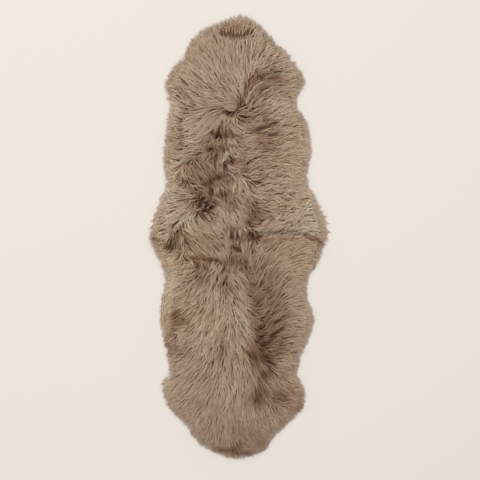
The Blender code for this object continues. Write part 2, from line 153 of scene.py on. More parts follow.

# Brush strokes: which way the wool lies, from root to tip. Drawn, and then corrected
# where a render's strands lay another way than a measurement of the photo gave.
COMB = [
    # x, y, heading in degrees from +X
    # head end, above the parting
    (-108, 836, 122), (-156, 804, 130), (-68, 856, 106), (-16, 868, 95), (32, 868, 80),
    (68, 848, 62), (108, 816, 45), (-40, 828, 98), (4, 828, 78), (36, 820, 58),
    # head end, below the parting
    (-56, 768, 98), (-16, 764, 92), (24, 764, 84), (52, 768, 74), (76, 772, 68), (100, 764, 60),
    (-96, 768, 110), (-136, 768, 118), (-176, 764, 127), (-196, 728, 132), (-76, 708, 104),
    (-36, 708, 97), (8, 708, 88), (-116, 708, 116), (-156, 708, 125), (-204, 676, 138),
    (-56, 644, 106), (-16, 628, 116), (-96, 644, 114), (-136, 644, 126), (-176, 644, 135),
    (-220, 636, 138), (-260, 660, 156), (-248, 620, 152), (-284, 620, 172), (-276, 576, 184),
    (-156, 604, 136), (-116, 596, 140), (-72, 588, 142), (-32, 580, 136), (-176, 572, 146),
    (-136, 556, 152), (-96, 544, 156), (-56, 540, 152), (-172, 532, 172), (-128, 520, 180),
    (-20, 524, 160), (-4, 540, 135), (12, 560, 120), (-40, 488, -92), (4, 500, -6),
    # right of the head end
    (132, 780, 48), (116, 732, 42), (164, 724, 40), (92, 692, 35), (132, 684, 18), (180, 684, 18),
    (220, 684, 28), (92, 652, 10), (140, 644, 5), (196, 644, 20), (252, 628, 15), (92, 612, 20),
    (148, 612, 8), (204, 604, 6), (244, 596, 0), (36, 644, 66),
    # below the shoulder on the right
    (92, 540, 48), (124, 564, 12), (180, 564, 4), (124, 532, 25), (172, 532, 20), (220, 556, 4),
    (212, 524, 12),
    # left shoulder and the fold down the left
    (-228, 556, 128), (-204, 556, 120), (-252, 540, 150), (-276, 532, 160), (-212, 516, 160),
    (-236, 500, 140), (-180, 500, -160), (-148, 492, -148), (-108, 492, -142), (-196, 460, -148),
    (-144, 460, -139), (-108, 460, -136), (-252, 476, 128), (-276, 484, 136), (-236, 444, 175),
    (-260, 428, 130), (-284, 436, 140), (-188, 412, -143), (-144, 420, -140), (-220, 396, -158),
    (-236, 372, -172), (-268, 388, 150), (-292, 388, 158), (-172, 380, -140), (-156, 356, -172),
    (-204, 340, -172), (-260, 348, 154), (-292, 340, 152), (-236, 316, 176), (-196, 316, 168),
    (-260, 284, 152), (-288, 244, 152), (-268, 228, 168), (-236, 228, 174),
    # middle of the upper pelt
    (-84, 476, -120), (28, 460, -22), (-12, 428, -48), (24, 412, 12), (36, 372, 26), (12, 356, 18),
    (-32, 380, -62), (-52, 324, -112), (-88, 364, -100), (-16, 340, -48), (12, 308, 18),
    (36, 284, 34), (-108, 388, -120), (-132, 340, -160), (-72, 268, -80), (-140, 196, 180),
    (-188, 196, 172), (-220, 188, 165), (-164, 164, 160), (-132, 148, -20), (-108, 124, -30),
    (-92, 180, -100), (-52, 180, -85), (-12, 212, -86), (4, 172, -72), (24, 196, -54),
    (36, 156, -50), (52, 168, -8), (-92, 124, -64), (-52, 124, -78), (4, 92, -66), (-52, 84, -66),
    (-12, 60, -70), (20, 124, -60),
    # right of the upper pelt
    (124, 500, 28), (172, 500, 27), (212, 500, 12), (64, 464, 22), (108, 452, 22), (156, 460, 28),
    (204, 460, 18), (256, 468, 12), (68, 420, 6), (108, 416, 2), (148, 408, 30), (196, 412, 18),
    (252, 416, 4), (268, 376, -5), (84, 368, -8), (132, 356, 5), (180, 364, 4), (236, 348, -4),
    (68, 324, 12), (124, 308, 20), (188, 308, -12), (252, 308, -14), (108, 260, 8), (172, 260, -12),
    (220, 244, -18), (256, 260, -8), (92, 216, 10), (148, 204, 4), (256, 204, -6), (108, 168, 8),
    (156, 156, -12), (212, 156, 0), (284, 164, -20), (92, 128, 6), (140, 124, 12),
    # right wing
    (204, 100, 18), (244, 100, 34), (284, 124, 26), (316, 116, 18), (284, 88, 12), (336, 80, 14),
    (244, 64, 30), (348, 60, -4), (204, 52, 26), (164, 60, 28), (124, 84, 24), (164, 28, 24),
    (212, 28, 20), (316, 28, -8), (352, 24, -20), (332, -4, -22), (60, 92, -30), (68, 44, -20),
    # left wing
    (-268, 196, 156), (-300, 172, 150), (-316, 148, 158), (-260, 148, 162), (-292, 116, 176),
    (-328, 100, 184), (-344, 68, 194), (-352, 36, 202), (-356, 4, 206), (-300, 76, 206),
    (-316, 36, 212), (-260, 92, 218), (-212, 116, 220), (-188, 132, 216), (-236, 76, 216),
    (-268, 52, 214), (-292, 4, 208), (-172, 100, 200),
    # over the seam on the left
    (-188, 36, -46), (-148, 36, -42), (-132, 68, -50), (-100, 60, -62), (-68, 44, -56),
    (-36, 44, -62), (4, 44, -84), (-172, -4, -40), (-124, 4, -42), (-76, 12, -38), (-44, -12, -62),
    (-196, -44, -36), (-148, -44, -38), (-108, -52, -44), (-76, -52, -56), (-52, -60, -76),
    (-44, -92, -84), (-92, -80, -60), (-140, -84, -28), (-228, -12, -84), (-228, -52, -90),
    (-268, -4, -60),
    # over the seam in the middle
    (-12, -4, -86), (20, -12, -90), (52, -4, -96), (-4, -52, -80), (28, -52, -92), (84, -28, 62),
    (48, -116, 80), (24, -148, -86),
    # left rim of the lower pelt
    (-324, -20, 204), (-324, -60, 200), (-292, -84, 199), (-252, -68, 200), (-268, -116, 190),
    (-228, -108, 188), (-188, -124, 194), (-292, -164, 182), (-244, -156, 188), (-196, -164, 206),
    (-164, -148, 218), (-276, -212, 186), (-228, -212, 208), (-292, -252, -112), (-300, -300, -98),
    (-260, -308, 190), (-292, -348, -98), (-256, -356, 186), (-292, -404, -104), (-260, -412, 186),
    (-220, -252, 216), (-220, -308, 212), (-220, -364, 206),
    # fan below the second whorl
    (-108, -116, -128), (-132, -140, -134), (-100, -148, -118), (-68, -156, -98), (-36, -140, -50),
    (-12, -156, -42), (-156, -196, -128), (-188, -260, -132), (-156, -268, -126),
    (-116, -204, -106), (-84, -212, -92), (-44, -204, -62), (-4, -212, -48), (20, -244, -46),
    (-116, -268, -108), (-80, -276, -92), (-40, -268, -76), (-4, -276, -60), (28, -292, -48),
    (-180, -324, -134), (-140, -332, -122), (-100, -340, -108), (-20, -340, -70), (16, -340, -58),
    (-180, -388, -134), (-140, -396, -124), (-100, -396, -110), (-68, -404, -104), (-28, -404, -72),
    (12, -404, -62),
    # hollow right of the fan
    (40, -204, -24), (60, -220, 4), (44, -268, -28), (124, -228, 56), (108, -188, 58),
    (148, -36, 44), (188, -36, 41), (260, -44, 8), (304, -44, -20), (284, -80, -22), (156, -76, 40),
    (204, -76, 32), (244, -92, 4), (140, -124, 44), (180, -124, 24), (228, -132, 2),
    (268, -132, -6), (188, -180, 14), (244, -188, 0), (156, -236, 36), (260, -244, 0),
    (188, -292, 22), (236, -300, 0), (284, -300, 0), (220, -348, 2), (284, -356, 0), (212, -404, 2),
    (260, -412, -4), (228, -452, -4), (140, -476, 8), (196, -484, -5),
    # tail
    (-268, -476, 190), (-292, -512, 182), (-236, -508, -138), (-196, -468, -132),
    (-156, -452, -126), (-116, -452, -114), (-76, -460, -98), (-36, -468, -84), (-4, -476, -66),
    (28, -468, -52), (52, -500, -56), (100, -508, -32), (172, -524, -26), (220, -516, -14),
    (-284, -548, 192), (-244, -564, -148), (-196, -540, -136), (-148, -540, -124),
    (-100, -532, -114), (-60, -524, -98), (-20, -532, -88), (20, -540, -84), (60, -548, -72),
    (100, -548, -52), (188, -564, -26), (232, -588, -16), (-308, -596, 200), (-268, -612, -150),
    (-220, -604, -141), (-172, -596, -134), (-124, -604, -122), (-76, -620, -112), (-28, -612, -98),
    (20, -612, -90), (68, -604, -82), (108, -604, -58), (156, -612, -40), (212, -620, -26),
    (252, -636, -14), (-260, -668, -146), (-212, -684, -140), (-164, -684, -128),
    (-116, -692, -114), (-68, -692, -104), (-20, -684, -94), (28, -684, -88), (76, -684, -80),
    (116, -700, -70), (164, -692, -52), (212, -684, -36), (-196, -748, -134), (-148, -756, -122),
    (-100, -756, -106), (-52, -756, -94), (-12, -756, -76), (36, -748, -80), (84, -748, -68),
    (132, -748, -58), (180, -732, -46), (-156, -812, -126), (-108, -812, -108), (-60, -812, -92),
    (-20, -804, -66), (20, -812, -54), (68, -812, -56), (108, -804, -52), (-92, -852, -106),
    (-52, -868, -94), (-4, -872, -76), (44, -860, -58),
    # tufts and bends
    (-244, 432, 84), (-180, 432, -154), (-148, 368, -166), (-180, 336, -161), (-212, 304, -158),
    (108, 528, 24), (76, 688, 32), (12, 432, -4), (-20, 400, -20), (44, 400, -8), (76, 336, -8),
    (-20, 304, -4), (-20, 272, -2), (172, 336, 28), (-188, 276, -50), (-156, 276, -58),
    (-124, 268, -50), (-172, 236, -46), (-132, 228, -40), (-204, 228, -46), (-100, 260, -40),
    (-148, 176, -11), (-116, 112, 48), (-20, 112, -40), (-148, 80, -22), (172, 80, 2),
    (236, 80, 14), (44, 48, 28), (204, 208, -14), (-212, 52, -32), (-84, 52, -14), (-180, 20, -10),
    (-148, 20, -20), (44, 20, -160), (-212, -12, -43), (-276, -44, -160), (236, -44, 24),
    (-212, -76, -6), (-180, -76, -15), (-52, -76, -103), (108, -76, 40), (-180, -108, 170),
    (140, -108, 22), (-148, -140, -126), (-116, -140, -124), (108, -140, 50), (-180, -172, -118),
    (-20, -172, -46), (140, -172, 54), (-180, -204, -110), (12, -204, -38), (-276, -236, -94),
    (108, -236, 62), (-244, -268, -162), (108, -268, 64), (140, -268, 58), (-52, -332, -112),
    (-244, -364, -176), (-52, -364, -108), (76, -364, 54), (-244, -396, -27), (-212, -428, -170),
    (-212, -460, -166), (76, -460, -86), (172, -492, 32), (-148, -524, -140), (140, -556, -86),
    (172, -652, 20), (44, -844, 20),
    # seen close up
    (92, -248, 60), (116, -248, 57), (140, -248, 50), (168, -248, 36), (196, -248, 18),
    (72, -272, 64), (100, -280, 56), (124, -280, 50), (148, -280, 42), (172, -280, 30),
    (200, -280, 12), (88, -312, 52), (112, -312, 48), (136, -312, 42), (160, -312, 34),
    (184, -312, 18), (96, -344, 48), (120, -344, 45), (144, -344, 38), (168, -344, 28),
    (192, -344, 10), (100, -376, 45), (124, -376, 42), (148, -376, 38), (172, -376, 26),
    (196, -376, 6), (96, -408, 42), (120, -408, 38), (144, -404, 34), (168, -408, 18),
    (192, -408, 2), (96, -436, 34), (120, -436, 22), (148, -436, 8), (180, -436, -4),
    (92, -464, 14), (120, -464, 8), (152, -464, 4), (124, -508, -36), (148, -524, -38),
    (184, -536, -34), (52, -300, -58), (44, -332, -60), (60, -340, -58), (52, -372, -62),
    (64, -396, -60), (44, -412, -66), (60, -432, -64), (-212, 288, -46), (-180, 296, -48),
    (-148, 288, -58), (-124, 284, -66), (-196, 256, -46), (-164, 256, -46), (-132, 252, -48),
    (-104, 240, -38), (-220, 228, -38), (-188, 224, -36), (-156, 224, -34), (-124, 216, -24),
    (-204, 200, -8), (-164, 200, -4), (-124, 200, -8), (-220, 252, -44), (-20, 16, -80),
    (4, 12, -88), (28, 12, -66), (-20, -24, -86), (4, -20, -96), (28, -32, -92), (44, -36, -100),
    (32, -68, -94), (28, -100, -92), (8, -96, -84), (-20, -100, -120), (-36, -116, -125),
    (60, -100, 80), (80, -100, 64), (60, -132, 84), (80, -136, 72), (68, -168, 82), (96, -124, 52),
    (112, -96, 44), (96, -156, 62), (124, -132, 42), (120, -168, 50), (96, -64, 55), (116, -40, 46),
    (72, -56, 72), (140, -16, 36), (104, -8, 40), (56, -192, 96), (-12, -140, -52), (12, -160, -42),
    (32, -180, -34), (4, -192, -42), (92, 44, 20), (124, 40, 26), (156, 40, 32), (188, 44, 34),
    (220, 48, 32), (252, 32, -14), (284, 24, -22), (252, 52, 20), (284, 52, 10), (28, 524, 62),
    (52, 524, 66), (76, 532, 56), (52, 556, 62), (76, 560, 60), (24, 500, 6), (52, 496, 16),
    (84, 500, 30), (20, 476, 12), (52, 472, 30), (84, 480, 32), (-44, 516, -180), (-68, 524, 176),
    (-36, 536, 172), (-68, 548, 160), (-20, 548, 140), (-68, 484, -120), (-52, 476, -106),
    (-36, 472, -92), (-16, 476, -70), (4, 468, -45),
    # whorl crease
    (-4, 564, 130), (4, 580, 125), (20, 596, 120), (12, 620, 118), (28, 628, 116), (32, 660, 112),
    (16, 652, 112), (28, 692, 106), (4, 692, 104), (32, 560, 55), (44, 588, 55), (52, 616, 52),
    (60, 648, 50), (60, 680, 58), (44, 716, 82), (72, 708, 62),
]

# Dark lines of painted shade, for the shade in the gaps where the wool falls apart and its roots show
PARTINGS = [
    # width, depth of painted shade from 0 to 1, the points (x, y) along it
    # head end
    (7, 0.3, [(-78, 816), (-52, 806), (-24, 799), (4, 802), (36, 808), (52, 822)]),
    (6, 0.45, [(56, 648), (42, 612), (28, 580), (14, 552), (4, 532), (-2, 512)]),
    (4, 0.6, [(-84, 480), (-60, 502), (-40, 496), (-12, 500), (20, 498), (52, 506)]),
    (4, 0.4, [(-144, 520), (-108, 518), (-84, 512)]),
    (8, 0.5, [(-244, 596), (-204, 562), (-180, 526)]),
    (8, 0.5, [(68, 668), (92, 632)]),
    (5, 0.8, [(60, 638), (72, 646), (92, 644)]),
    (4, 0.8, [(68, 658), (74, 668)]),
    (5, 0.7, [(100, 628), (132, 634), (164, 642)]),
    (5, 0.7, [(92, 584), (108, 590), (122, 600)]),
    (5, 0.5, [(100, 676), (124, 678)]),
    (5, 0.6, [(52, 594), (64, 600)]),
    # left shoulder
    (10, 0.6, [(-212, 516), (-236, 460), (-232, 404), (-230, 366)]),
    (11, 0.7, [(-126, 436), (-96, 408), (-66, 406)]),
    # right of the upper pelt
    (5, 0.9, [(40, 432), (60, 422), (92, 434), (140, 448), (168, 464)]),
    (5, 0.7, [(68, 418), (100, 412), (132, 414)]),
    (5, 0.6, [(124, 394), (144, 412), (160, 424)]),
    (5, 0.5, [(76, 386), (108, 380), (144, 384)]),
    (4, 0.45, [(72, 360), (100, 352), (140, 348)]),
    (5, 1, [(54, 212), (68, 216), (86, 218)]),
    (4, 0.4, [(16, 212), (40, 190), (68, 180)]),
    (4, 0.7, [(-4, 296), (12, 298)]),
    (4, 0.6, [(24, 292), (40, 298), (52, 296)]),
    (5, 0.8, [(-56, 294), (-36, 302), (-20, 310)]),
    (5, 0.6, [(-52, 288), (-20, 294)]),
    (4, 0.6, [(100, 464), (116, 478)]),
    (4, 0.6, [(72, 146), (92, 144)]),
    (4, 0.5, [(96, 110), (116, 106), (136, 104)]),
    (4, 0.5, [(148, 114), (176, 124), (192, 130)]),
    (4, 0.5, [(252, 146), (268, 150)]),
    (5, 0.8, [(96, 64), (108, 62)]),
    (4, 0.7, [(128, 68), (144, 72)]),
    (4, 0.5, [(120, 38), (136, 46)]),
    # seam
    (3.5, 0.6, [(92, 16), (124, 18), (164, 18), (204, 16), (244, 12), (264, 8)]),
    (4, 0.8, [(268, 8), (276, -6), (296, -11), (316, -10), (332, -26)]),
    (5, 0.9, [(60, -10), (76, -2), (96, 8)]),
    (4, 1, [(-28, -42), (-12, -46), (4, -56), (16, -62)]),
    (4, 0.9, [(30, -96), (30, -120)]),
    (4, 0.7, [(6, -100), (12, -110)]),
    (4, 0.6, [(4, -132), (18, -128)]),
    (5, 0.6, [(-68, -138), (-48, -136), (-32, -142)]),
    (5, 1, [(-70, -192), (-60, -182), (-46, -162)]),
    (4, 0.6, [(86, -124), (100, -110), (112, -98)]),
    (4, 0.5, [(88, -96), (104, -84)]),
    (4, 0.5, [(100, -50), (112, -40)]),
    # left wing and below it
    (5, 0.9, [(-248, 16), (-236, 24), (-226, 32)]),
    (4, 0.8, [(-274, -12), (-268, -46)]),
    (4, 0.8, [(-258, 2), (-250, -44)]),
    (4, 0.7, [(-292, -32), (-282, -50)]),
    (4, 0.7, [(-242, -8), (-242, -44)]),
    (4, 0.6, [(-356, 0), (-332, -10), (-312, -14)]),
    (5, 0.6, [(-280, -44), (-264, -48), (-248, -44)]),
    (5, 0.6, [(-316, 72), (-304, 70)]),
    (5, 0.5, [(-240, 148), (-228, 152)]),
    (5, 0.7, [(-188, -82), (-172, -88), (-156, -92)]),
    (5, 0.7, [(-144, -88), (-124, -94), (-100, -94)]),
    (5, 0.8, [(-92, -96), (-84, -108)]),
    (4, 0.6, [(-84, -132), (-72, -124)]),
    (5, 0.5, [(-140, -124), (-128, -130)]),
    (5, 0.5, [(-132, -180), (-120, -172)]),
    # lower pelt
    (8, 0.6, [(-50, -162), (-72, -202)]),
    (7, 0.3, [(40, -100), (42, -152), (48, -200)]),
    (9, 0.25, [(84, -360), (94, -432), (92, -500), (94, -564)]),
    (4, 0.9, [(88, -328), (104, -314), (120, -296)]),
    (4, 0.9, [(88, -366), (96, -360)]),
    (5, 0.8, [(68, -370), (80, -378)]),
    (5, 1, [(128, -396), (144, -382), (160, -376), (180, -364)]),
    (5, 1, [(96, -436), (116, -420), (144, -400)]),
    (6, 0.7, [(72, -416), (88, -424), (108, -420)]),
    (4, 0.6, [(132, -268), (140, -256)]),
    (4, 0.6, [(148, -280), (164, -266)]),
    (4, 0.5, [(60, -276), (72, -264)]),
    (5, 0.6, [(92, -484), (116, -474), (132, -468)]),
    (5, 0.6, [(108, -494), (124, -496), (152, -516)]),
    (5, 0.5, [(124, -532), (156, -552)]),
    (5, 0.5, [(92, -540), (108, -556)]),
    (9, 0.4, [(140, -390), (112, -428), (94, -432)]),
    (10, 0.3, [(-254, -252), (-262, -340), (-252, -450)]),
    (8, 0.4, [(-220, -330), (-200, -354), (-214, -378)]),
    (8, 0.5, [(-96, -848), (-56, -854), (-14, -846)]),
]

# Edges where the wool's tips end over a hollow
STOPS = [
    # how far the strands may lie over it, the points (x, y) along it
    (5, [(-84, 812), (-52, 806), (-20, 800), (12, 801), (46, 808)]),
    (0, [(-60, 508), (-44, 502), (-28, 502)]),
    (30, [(-40, 14), (0, 12), (40, 12), (76, 14)]),
    (9, [(76, 14), (144, 16), (244, 16), (272, 0), (316, -12), (370, -22)]),
    (
        36,
        [(48, -30), (46, -100), (44, -156), (46, -212), (58, -272), (72, -332), (76, -392), (72, -444)],
    ),
]

# Pointed tufts round the rim
TUFTS = [
    # root x, root y, tip x, tip y, width
    # left wing
    (-284, 172, -326, 152, 28), (-296, 128, -340, 114, 28), (-304, 100, -354, 86, 24),
    (-312, 78, -363, 60, 26), (-316, 52, -371, 30, 28), (-316, 20, -373, -6, 30),
    # right wing
    (272, 172, 308, 158, 20), (296, 124, 338, 122, 24), (296, 100, 346, 102, 24),
    (308, 72, 364, 86, 22), (312, 60, 371, 54, 32), (320, 32, 376, 16, 30), (312, 4, 366, -14, 26),
    (300, -32, 346, -44, 20),
    # tail
    (-280, -572, -322, -596, 24), (-276, -600, -318, -626, 24), (-268, -616, -310, -646, 20),
    (-252, -660, -288, -696, 20),
    # head
    (-4, 848, -4, 890, 24), (28, 852, 28, 894, 24), (-24, 840, -32, 880, 20),
    (72, 808, 96, 844, 24), (116, 756, 148, 788, 20), (176, 708, 216, 736, 20),
    (192, 684, 236, 708, 24), (216, 648, 260, 664, 24),
]

# Patches of painted shade (shade above 0), standing for the shade in hollows, knots and the gaps
# between locks, and of painted light (shade below 0) on ridges, partly the wool's own darker and
# paler tone, and of tangled or calm wool. Some were drawn one by one. Most were placed, and given
# their depth, by the measured difference in tone between a render and the photo, so this table is
# fitted to the photo's light and dark.
PATCHES = [
    # x, y, half length, half width, shade (painted: dark above 0, pale below 0), turn in degrees,
    # tangle, calm; those left out are 0
    # the head end
    (-16, 820, 72, 16, 0.12, 0, 0.1), (-20, 852, 64, 24, 0.2),
    (-148, 724, 120, 104, -0.05, 60, 0, 0.9), (-12, 708, 112, 64, -0.1, 90, 0, 0.9),
    (116, 652, 44, 20, 0.45, 10, 0.5), (68, 632, 28, 24, 0.2, 0, 0.4),
    (148, 628, 44, 20, 0.6, -10, 0.3), (96, 596, 36, 12, 0.4, 20, 0.3),
    (52, 548, 40, 48, 0.3, 60, 0.3), (204, 636, 56, 56, 0.05, 0, 0, 0.3), (4, 644, 24, 28, -0.22),
    (68, 700, 32, 24, -0.3, 30), (172, 672, 24, 16, -0.2), (180, 516, 56, 36, -0.2),
    (108, 476, 24, 20, 0.4), (108, 588, 20, 16, 0.35), (-272, 668, 16, 28, 0.35, -40),
    (56, 516, 24, 20, 0.25), (-4, 528, 12, 16, 0.15), (8, 816, 20, 12, -0.2),
    (-68, 744, 20, 24, -0.2), (-12, 592, 20, 24, -0.15), (220, 648, 24, 32, -0.15),
    (4, 536, 12, 24, 0.35), (104, 584, 16, 12, 0.2), (180, 520, 32, 24, -0.15),
    (-172, 540, 24, 16, -0.15), (164, 720, 24, 20, -0.15), (-28, 776, 20, 16, 0.12),
    (-32, 852, 32, 16, 0.12), (60, 692, 24, 20, -0.2, 40), (16, 652, 12, 24, -0.15),
    (56, 520, 24, 16, 0.2), (116, 648, 32, 16, -0.15, 10), (68, 624, 20, 16, 0.2),
    (224, 588, 24, 32, -0.1), (140, 784, 16, 16, 0.3), (-116, 816, 24, 16, 0.2, 20),
    (80, 760, 20, 24, -0.15), (64, 616, 20, 12, 0.2), (228, 588, 24, 24, -0.12),
    (-12, 848, 24, 16, 0.15), (-64, 820, 24, 16, -0.15, 20), (48, 736, 20, 20, -0.15),
    (-256, 580, 20, 32, -0.15, -20), (-12, 840, 48, 16, 0.15), (-252, 612, 24, 48, -0.12),
    (-44, 476, 20, 12, 0.15), (148, 776, 20, 16, 0.12),
    # left shoulder and the swath
    (-188, 528, 16, 8, 0.6, -30, 0.2), (-44, 528, 48, 24, -0.25, -10, 0, 0.8),
    (-36, 496, 20, 8, 0.3), (28, 476, 40, 16, 0.5, -15, 0.3),
    (-164, 436, 104, 32, -0.25, 40, 0, 0.3), (-268, 440, 36, 64, -0.2),
    (-276, 388, 16, 8, 0.5, -30), (-124, 388, 72, 56, 0, 0, 0.3), (68, 100, 56, 56, 0, 0, 0.3),
    (-268, 528, 24, 32, -0.2), (-256, 380, 20, 20, 0.2), (-140, 376, 20, 10, 0.4, 25),
    (-124, 444, 36, 20, -0.25, 40), (-228, 468, 16, 36, -0.2), (-128, 440, 20, 12, -0.15, 40),
    (-188, 404, 24, 20, -0.15, 40), (-272, 536, 20, 20, -0.15), (-192, 360, 24, 16, -0.12),
    (-128, 436, 20, 12, -0.15, 40), (-296, 364, 12, 32, -0.12), (-248, 364, 20, 16, 0.2),
    (-180, 396, 24, 16, -0.12, 40), (-248, 500, 20, 20, 0.15), (-208, 364, 20, 16, -0.15),
    (-172, 572, 24, 16, -0.12),
    # tangles down the middle
    (-88, 420, 36, 24, 0.3, 30, 0.6), (-44, 412, 24, 16, 0.5, 0, 0.5),
    (-112, 352, 20, 16, 0.45, 0, 0.6), (-68, 356, 32, 24, 0.35, 0, 0.5),
    (-32, 300, 40, 12, 0.4, 0, 0.3), (32, 372, 40, 20, -0.25, 10), (-52, 188, 56, 144, 0, 0, 0.28),
    (-168, 264, 68, 52, 0.4, -45, 0.1), (-112, 228, 20, 16, 0.5, 0, 0.4),
    (-208, 220, 20, 10, 0.4, -30, 0.2), (-144, 220, 32, 12, 0.5, -20, 0.3),
    (-80, 236, 16, 12, 0.6, 0, 0.4), (-140, 136, 44, 36, 0.3, 0, 0.5),
    (-68, 168, 32, 24, 0.35, 0, 0.3), (-100, 204, 24, 12, 0.3, 0, 0.3), (-12, 188, 24, 56, -0.1),
    (44, 176, 32, 12, -0.3, -20), (-44, 100, 64, 32, -0.05), (60, 132, 28, 20, 0.6, 20, 0.6),
    (64, 92, 32, 20, 0.7, 20, 0.7), (92, 68, 16, 12, 0.6, 0, 0.6), (44, 56, 24, 16, 0.6, 0, 0.6),
    (128, 72, 16, 12, 0.4, 0, 0.4), (-88, 420, 8, 8, 0.5, 0, 0.3), (-108, 420, 8, 6, 0.6, 0, 0.2),
    (-260, 256, 36, 32, -0.4), (-176, 308, 32, 20, 0.2), (-80, 216, 20, 16, 0.25),
    (-24, 136, 16, 24, 0.25), (-128, 88, 24, 20, 0.4), (-292, 180, 24, 32, -0.2),
    (-196, 48, 36, 40, -0.4), (4, 484, 24, 12, -0.2), (72, 164, 20, 20, -0.2),
    (60, 68, 20, 16, 0.25), (-20, 28, 24, 20, 0.35), (-236, 304, 24, 20, -0.2),
    (12, 316, 24, 24, 0.2), (-100, 268, 24, 20, 0.2), (-116, 128, 20, 20, 0.2),
    (-60, 224, 20, 16, 0.2), (-136, 188, 28, 12, 0.2), (-196, 188, 24, 12, 0.2),
    (24, -28, 20, 16, 0.25), (-48, 476, 20, 12, 0.2), (-104, 180, 16, 20, 0.3),
    (-12, 224, 20, 24, -0.2), (-268, 268, 56, 48, 0, 0, 0, 0.5), (0, 220, 56, 72, 0, 0, 0, 0.3),
    (-36, 524, 36, 24, 0, 0, 0, 0.3), (-140, 36, 32, 20, -0.15, -40), (-180, 68, 20, 20, -0.15),
    (-88, 68, 20, 16, -0.2), (-12, 124, 20, 20, 0.15), (-156, 292, 32, 20, 0.2),
    (-132, 84, 20, 16, 0.2), (-204, 276, 24, 16, 0.2), (-40, 388, 16, 16, 0.2),
    (-48, 476, 20, 12, 0.15), (-188, 68, 20, 16, -0.15), (36, 224, 20, 24, -0.15),
    (40, 364, 32, 20, -0.12), (-56, 304, 20, 16, -0.15), (-168, 160, 16, 12, -0.15),
    (92, 228, 16, 24, 0.15), (-128, 388, 40, 12, 0.15, 10), (-164, 296, 32, 24, 0.15),
    (-132, 92, 24, 20, 0.2), (-280, 180, 24, 20, -0.25), (-36, 84, 24, 20, -0.15),
    (-48, 476, 20, 16, 0.15), (-32, 344, 16, 20, -0.15), (88, 384, 16, 24, 0.15),
    (-108, 392, 24, 12, 0.15, 10), (-212, 280, 24, 20, 0.15), (-128, 84, 24, 20, 0.2),
    (-48, 212, 20, 16, 0.2), (-52, 480, 24, 12, 0.15), (-44, 384, 16, 16, 0.15),
    (-12, 84, 24, 20, -0.25), (-124, 352, 24, 16, 0.35, 20), (-68, 476, 32, 12, 0.15, 10),
    (-32, 388, 20, 16, 0.2), (12, 160, 24, 20, -0.15), (44, 228, 24, 20, -0.12),
    (-168, 72, 24, 20, -0.22, 30), (-84, 468, 24, 12, 0.15), (-152, 260, 56, 36, 0.1, 20),
    (-172, 64, 20, 16, -0.2), (52, 136, 20, 16, -0.15), (-28, 308, 16, 16, -0.25),
    (-56, 280, 16, 20, -0.2), (-164, 72, 20, 24, -0.12, 30), (-116, 348, 20, 12, 0.3),
    # right of the upper pelt
    (92, 436, 56, 16, 0.4, 12, 0.1), (132, 452, 40, 12, 0.3, 28), (144, 408, 24, 8, 0.4, 35),
    (108, 356, 72, 64, 0.35), (72, 220, 20, 8, 0.6, 8, 0.1), (228, 308, 80, 176, -0.2, 0, 0, 0.7),
    (256, 376, 16, 8, 0.35, -10), (264, 148, 20, 8, 0.4), (244, 88, 56, 48, -0.25, 30, 0, 0.2),
    (172, 44, 56, 24, -0.3, 25), (276, 372, 32, 48, -0.15), (152, 468, 28, 12, -0.25, 25),
    (220, 224, 32, 40, -0.1), (176, 432, 20, 12, 0.2, 20), (276, 396, 24, 48, -0.12),
    (56, 456, 20, 16, 0.2), (92, 404, 24, 16, 0.15), (196, 176, 28, 20, -0.22),
    (192, 176, 32, 20, -0.12),
    # wings and the seam
    (-300, 136, 56, 64, -0.35, 0, 0, 0.2), (-252, 92, 56, 20, -0.25, 40),
    (-268, -16, 32, 32, 0.5, 0, 0.2), (-236, -28, 12, 32, -0.2),
    (-140, -4, 104, 56, 0.12, -42, 0, 0.1), (-12, 4, 32, 16, 0.3, 0, 0.3),
    (52, 4, 32, 16, 0.35, 0, 0.3), (-12, -48, 24, 8, 0.7, -25, 0.2), (332, -28, 24, 16, 0.5, -50),
    (292, 44, 64, 32, -0.2), (-304, 0, 20, 24, -0.25), (-216, -16, 36, 20, 0.55, -60),
    (-356, -6, 32, 12, 0.8), (92, -12, 32, 16, 0.3), (156, -12, 56, 12, 0.2),
    (308, -12, 36, 10, 0.4, -25), (208, -8, 56, 12, 0.25), (136, -40, 32, 16, 0.2),
    (24, 4, 56, 24, 0.2), (-296, -8, 20, 20, -0.25), (336, 72, 20, 20, -0.25),
    (268, 16, 24, 12, -0.3), (28, -28, 20, 16, 0.2), (-32, 12, 16, 20, 0.25),
    (-316, -92, 16, 32, -0.2), (188, 72, 24, 16, 0.15), (236, 32, 24, 16, -0.15),
    (336, 72, 16, 20, -0.15), (312, 32, 20, 20, -0.15), (56, 60, 20, 16, 0.15),
    (-28, 12, 20, 16, 0.15), (-28, 28, 20, 16, 0.25), (-220, -12, 20, 16, 0.2, -60),
    (-192, -48, 24, 16, 0.25, -30), (-76, -48, 20, 16, 0.2), (-8, 8, 16, 16, 0.3),
    (176, 28, 24, 16, -0.18), (92, -16, 20, 12, 0.18), (-248, 64, 24, 16, -0.18),
    (-220, 20, 16, 16, -0.18), (-248, 148, 24, 16, 0.15), (-124, -12, 28, 20, 0.15, -30),
    (-108, -64, 24, 16, 0.18), (-4, 4, 20, 16, 0.2), (28, 8, 36, 20, 0.1),
    (-220, 20, 16, 16, -0.15), (264, 84, 40, 48, -0.06), (-248, 64, 20, 16, -0.12),
    (-92, 0, 20, 16, 0.15), (-40, 0, 16, 16, 0.15), (24, -24, 16, 16, 0.15),
    # lower pelt, left and middle
    (-168, -84, 28, 12, 0.6, -10, 0.1), (-100, -100, 40, 12, 0.5, -15, 0.2),
    (-128, -132, 12, 12, 0.6), (-72, -124, 16, 8, 0.6, 0, 0.2), (-108, -124, 48, 32, 0.2, 0, 0.2),
    (-284, -140, 64, 88, -0.1, 0, 0, 0.8), (-64, -184, 8, 24, 0.6, -35),
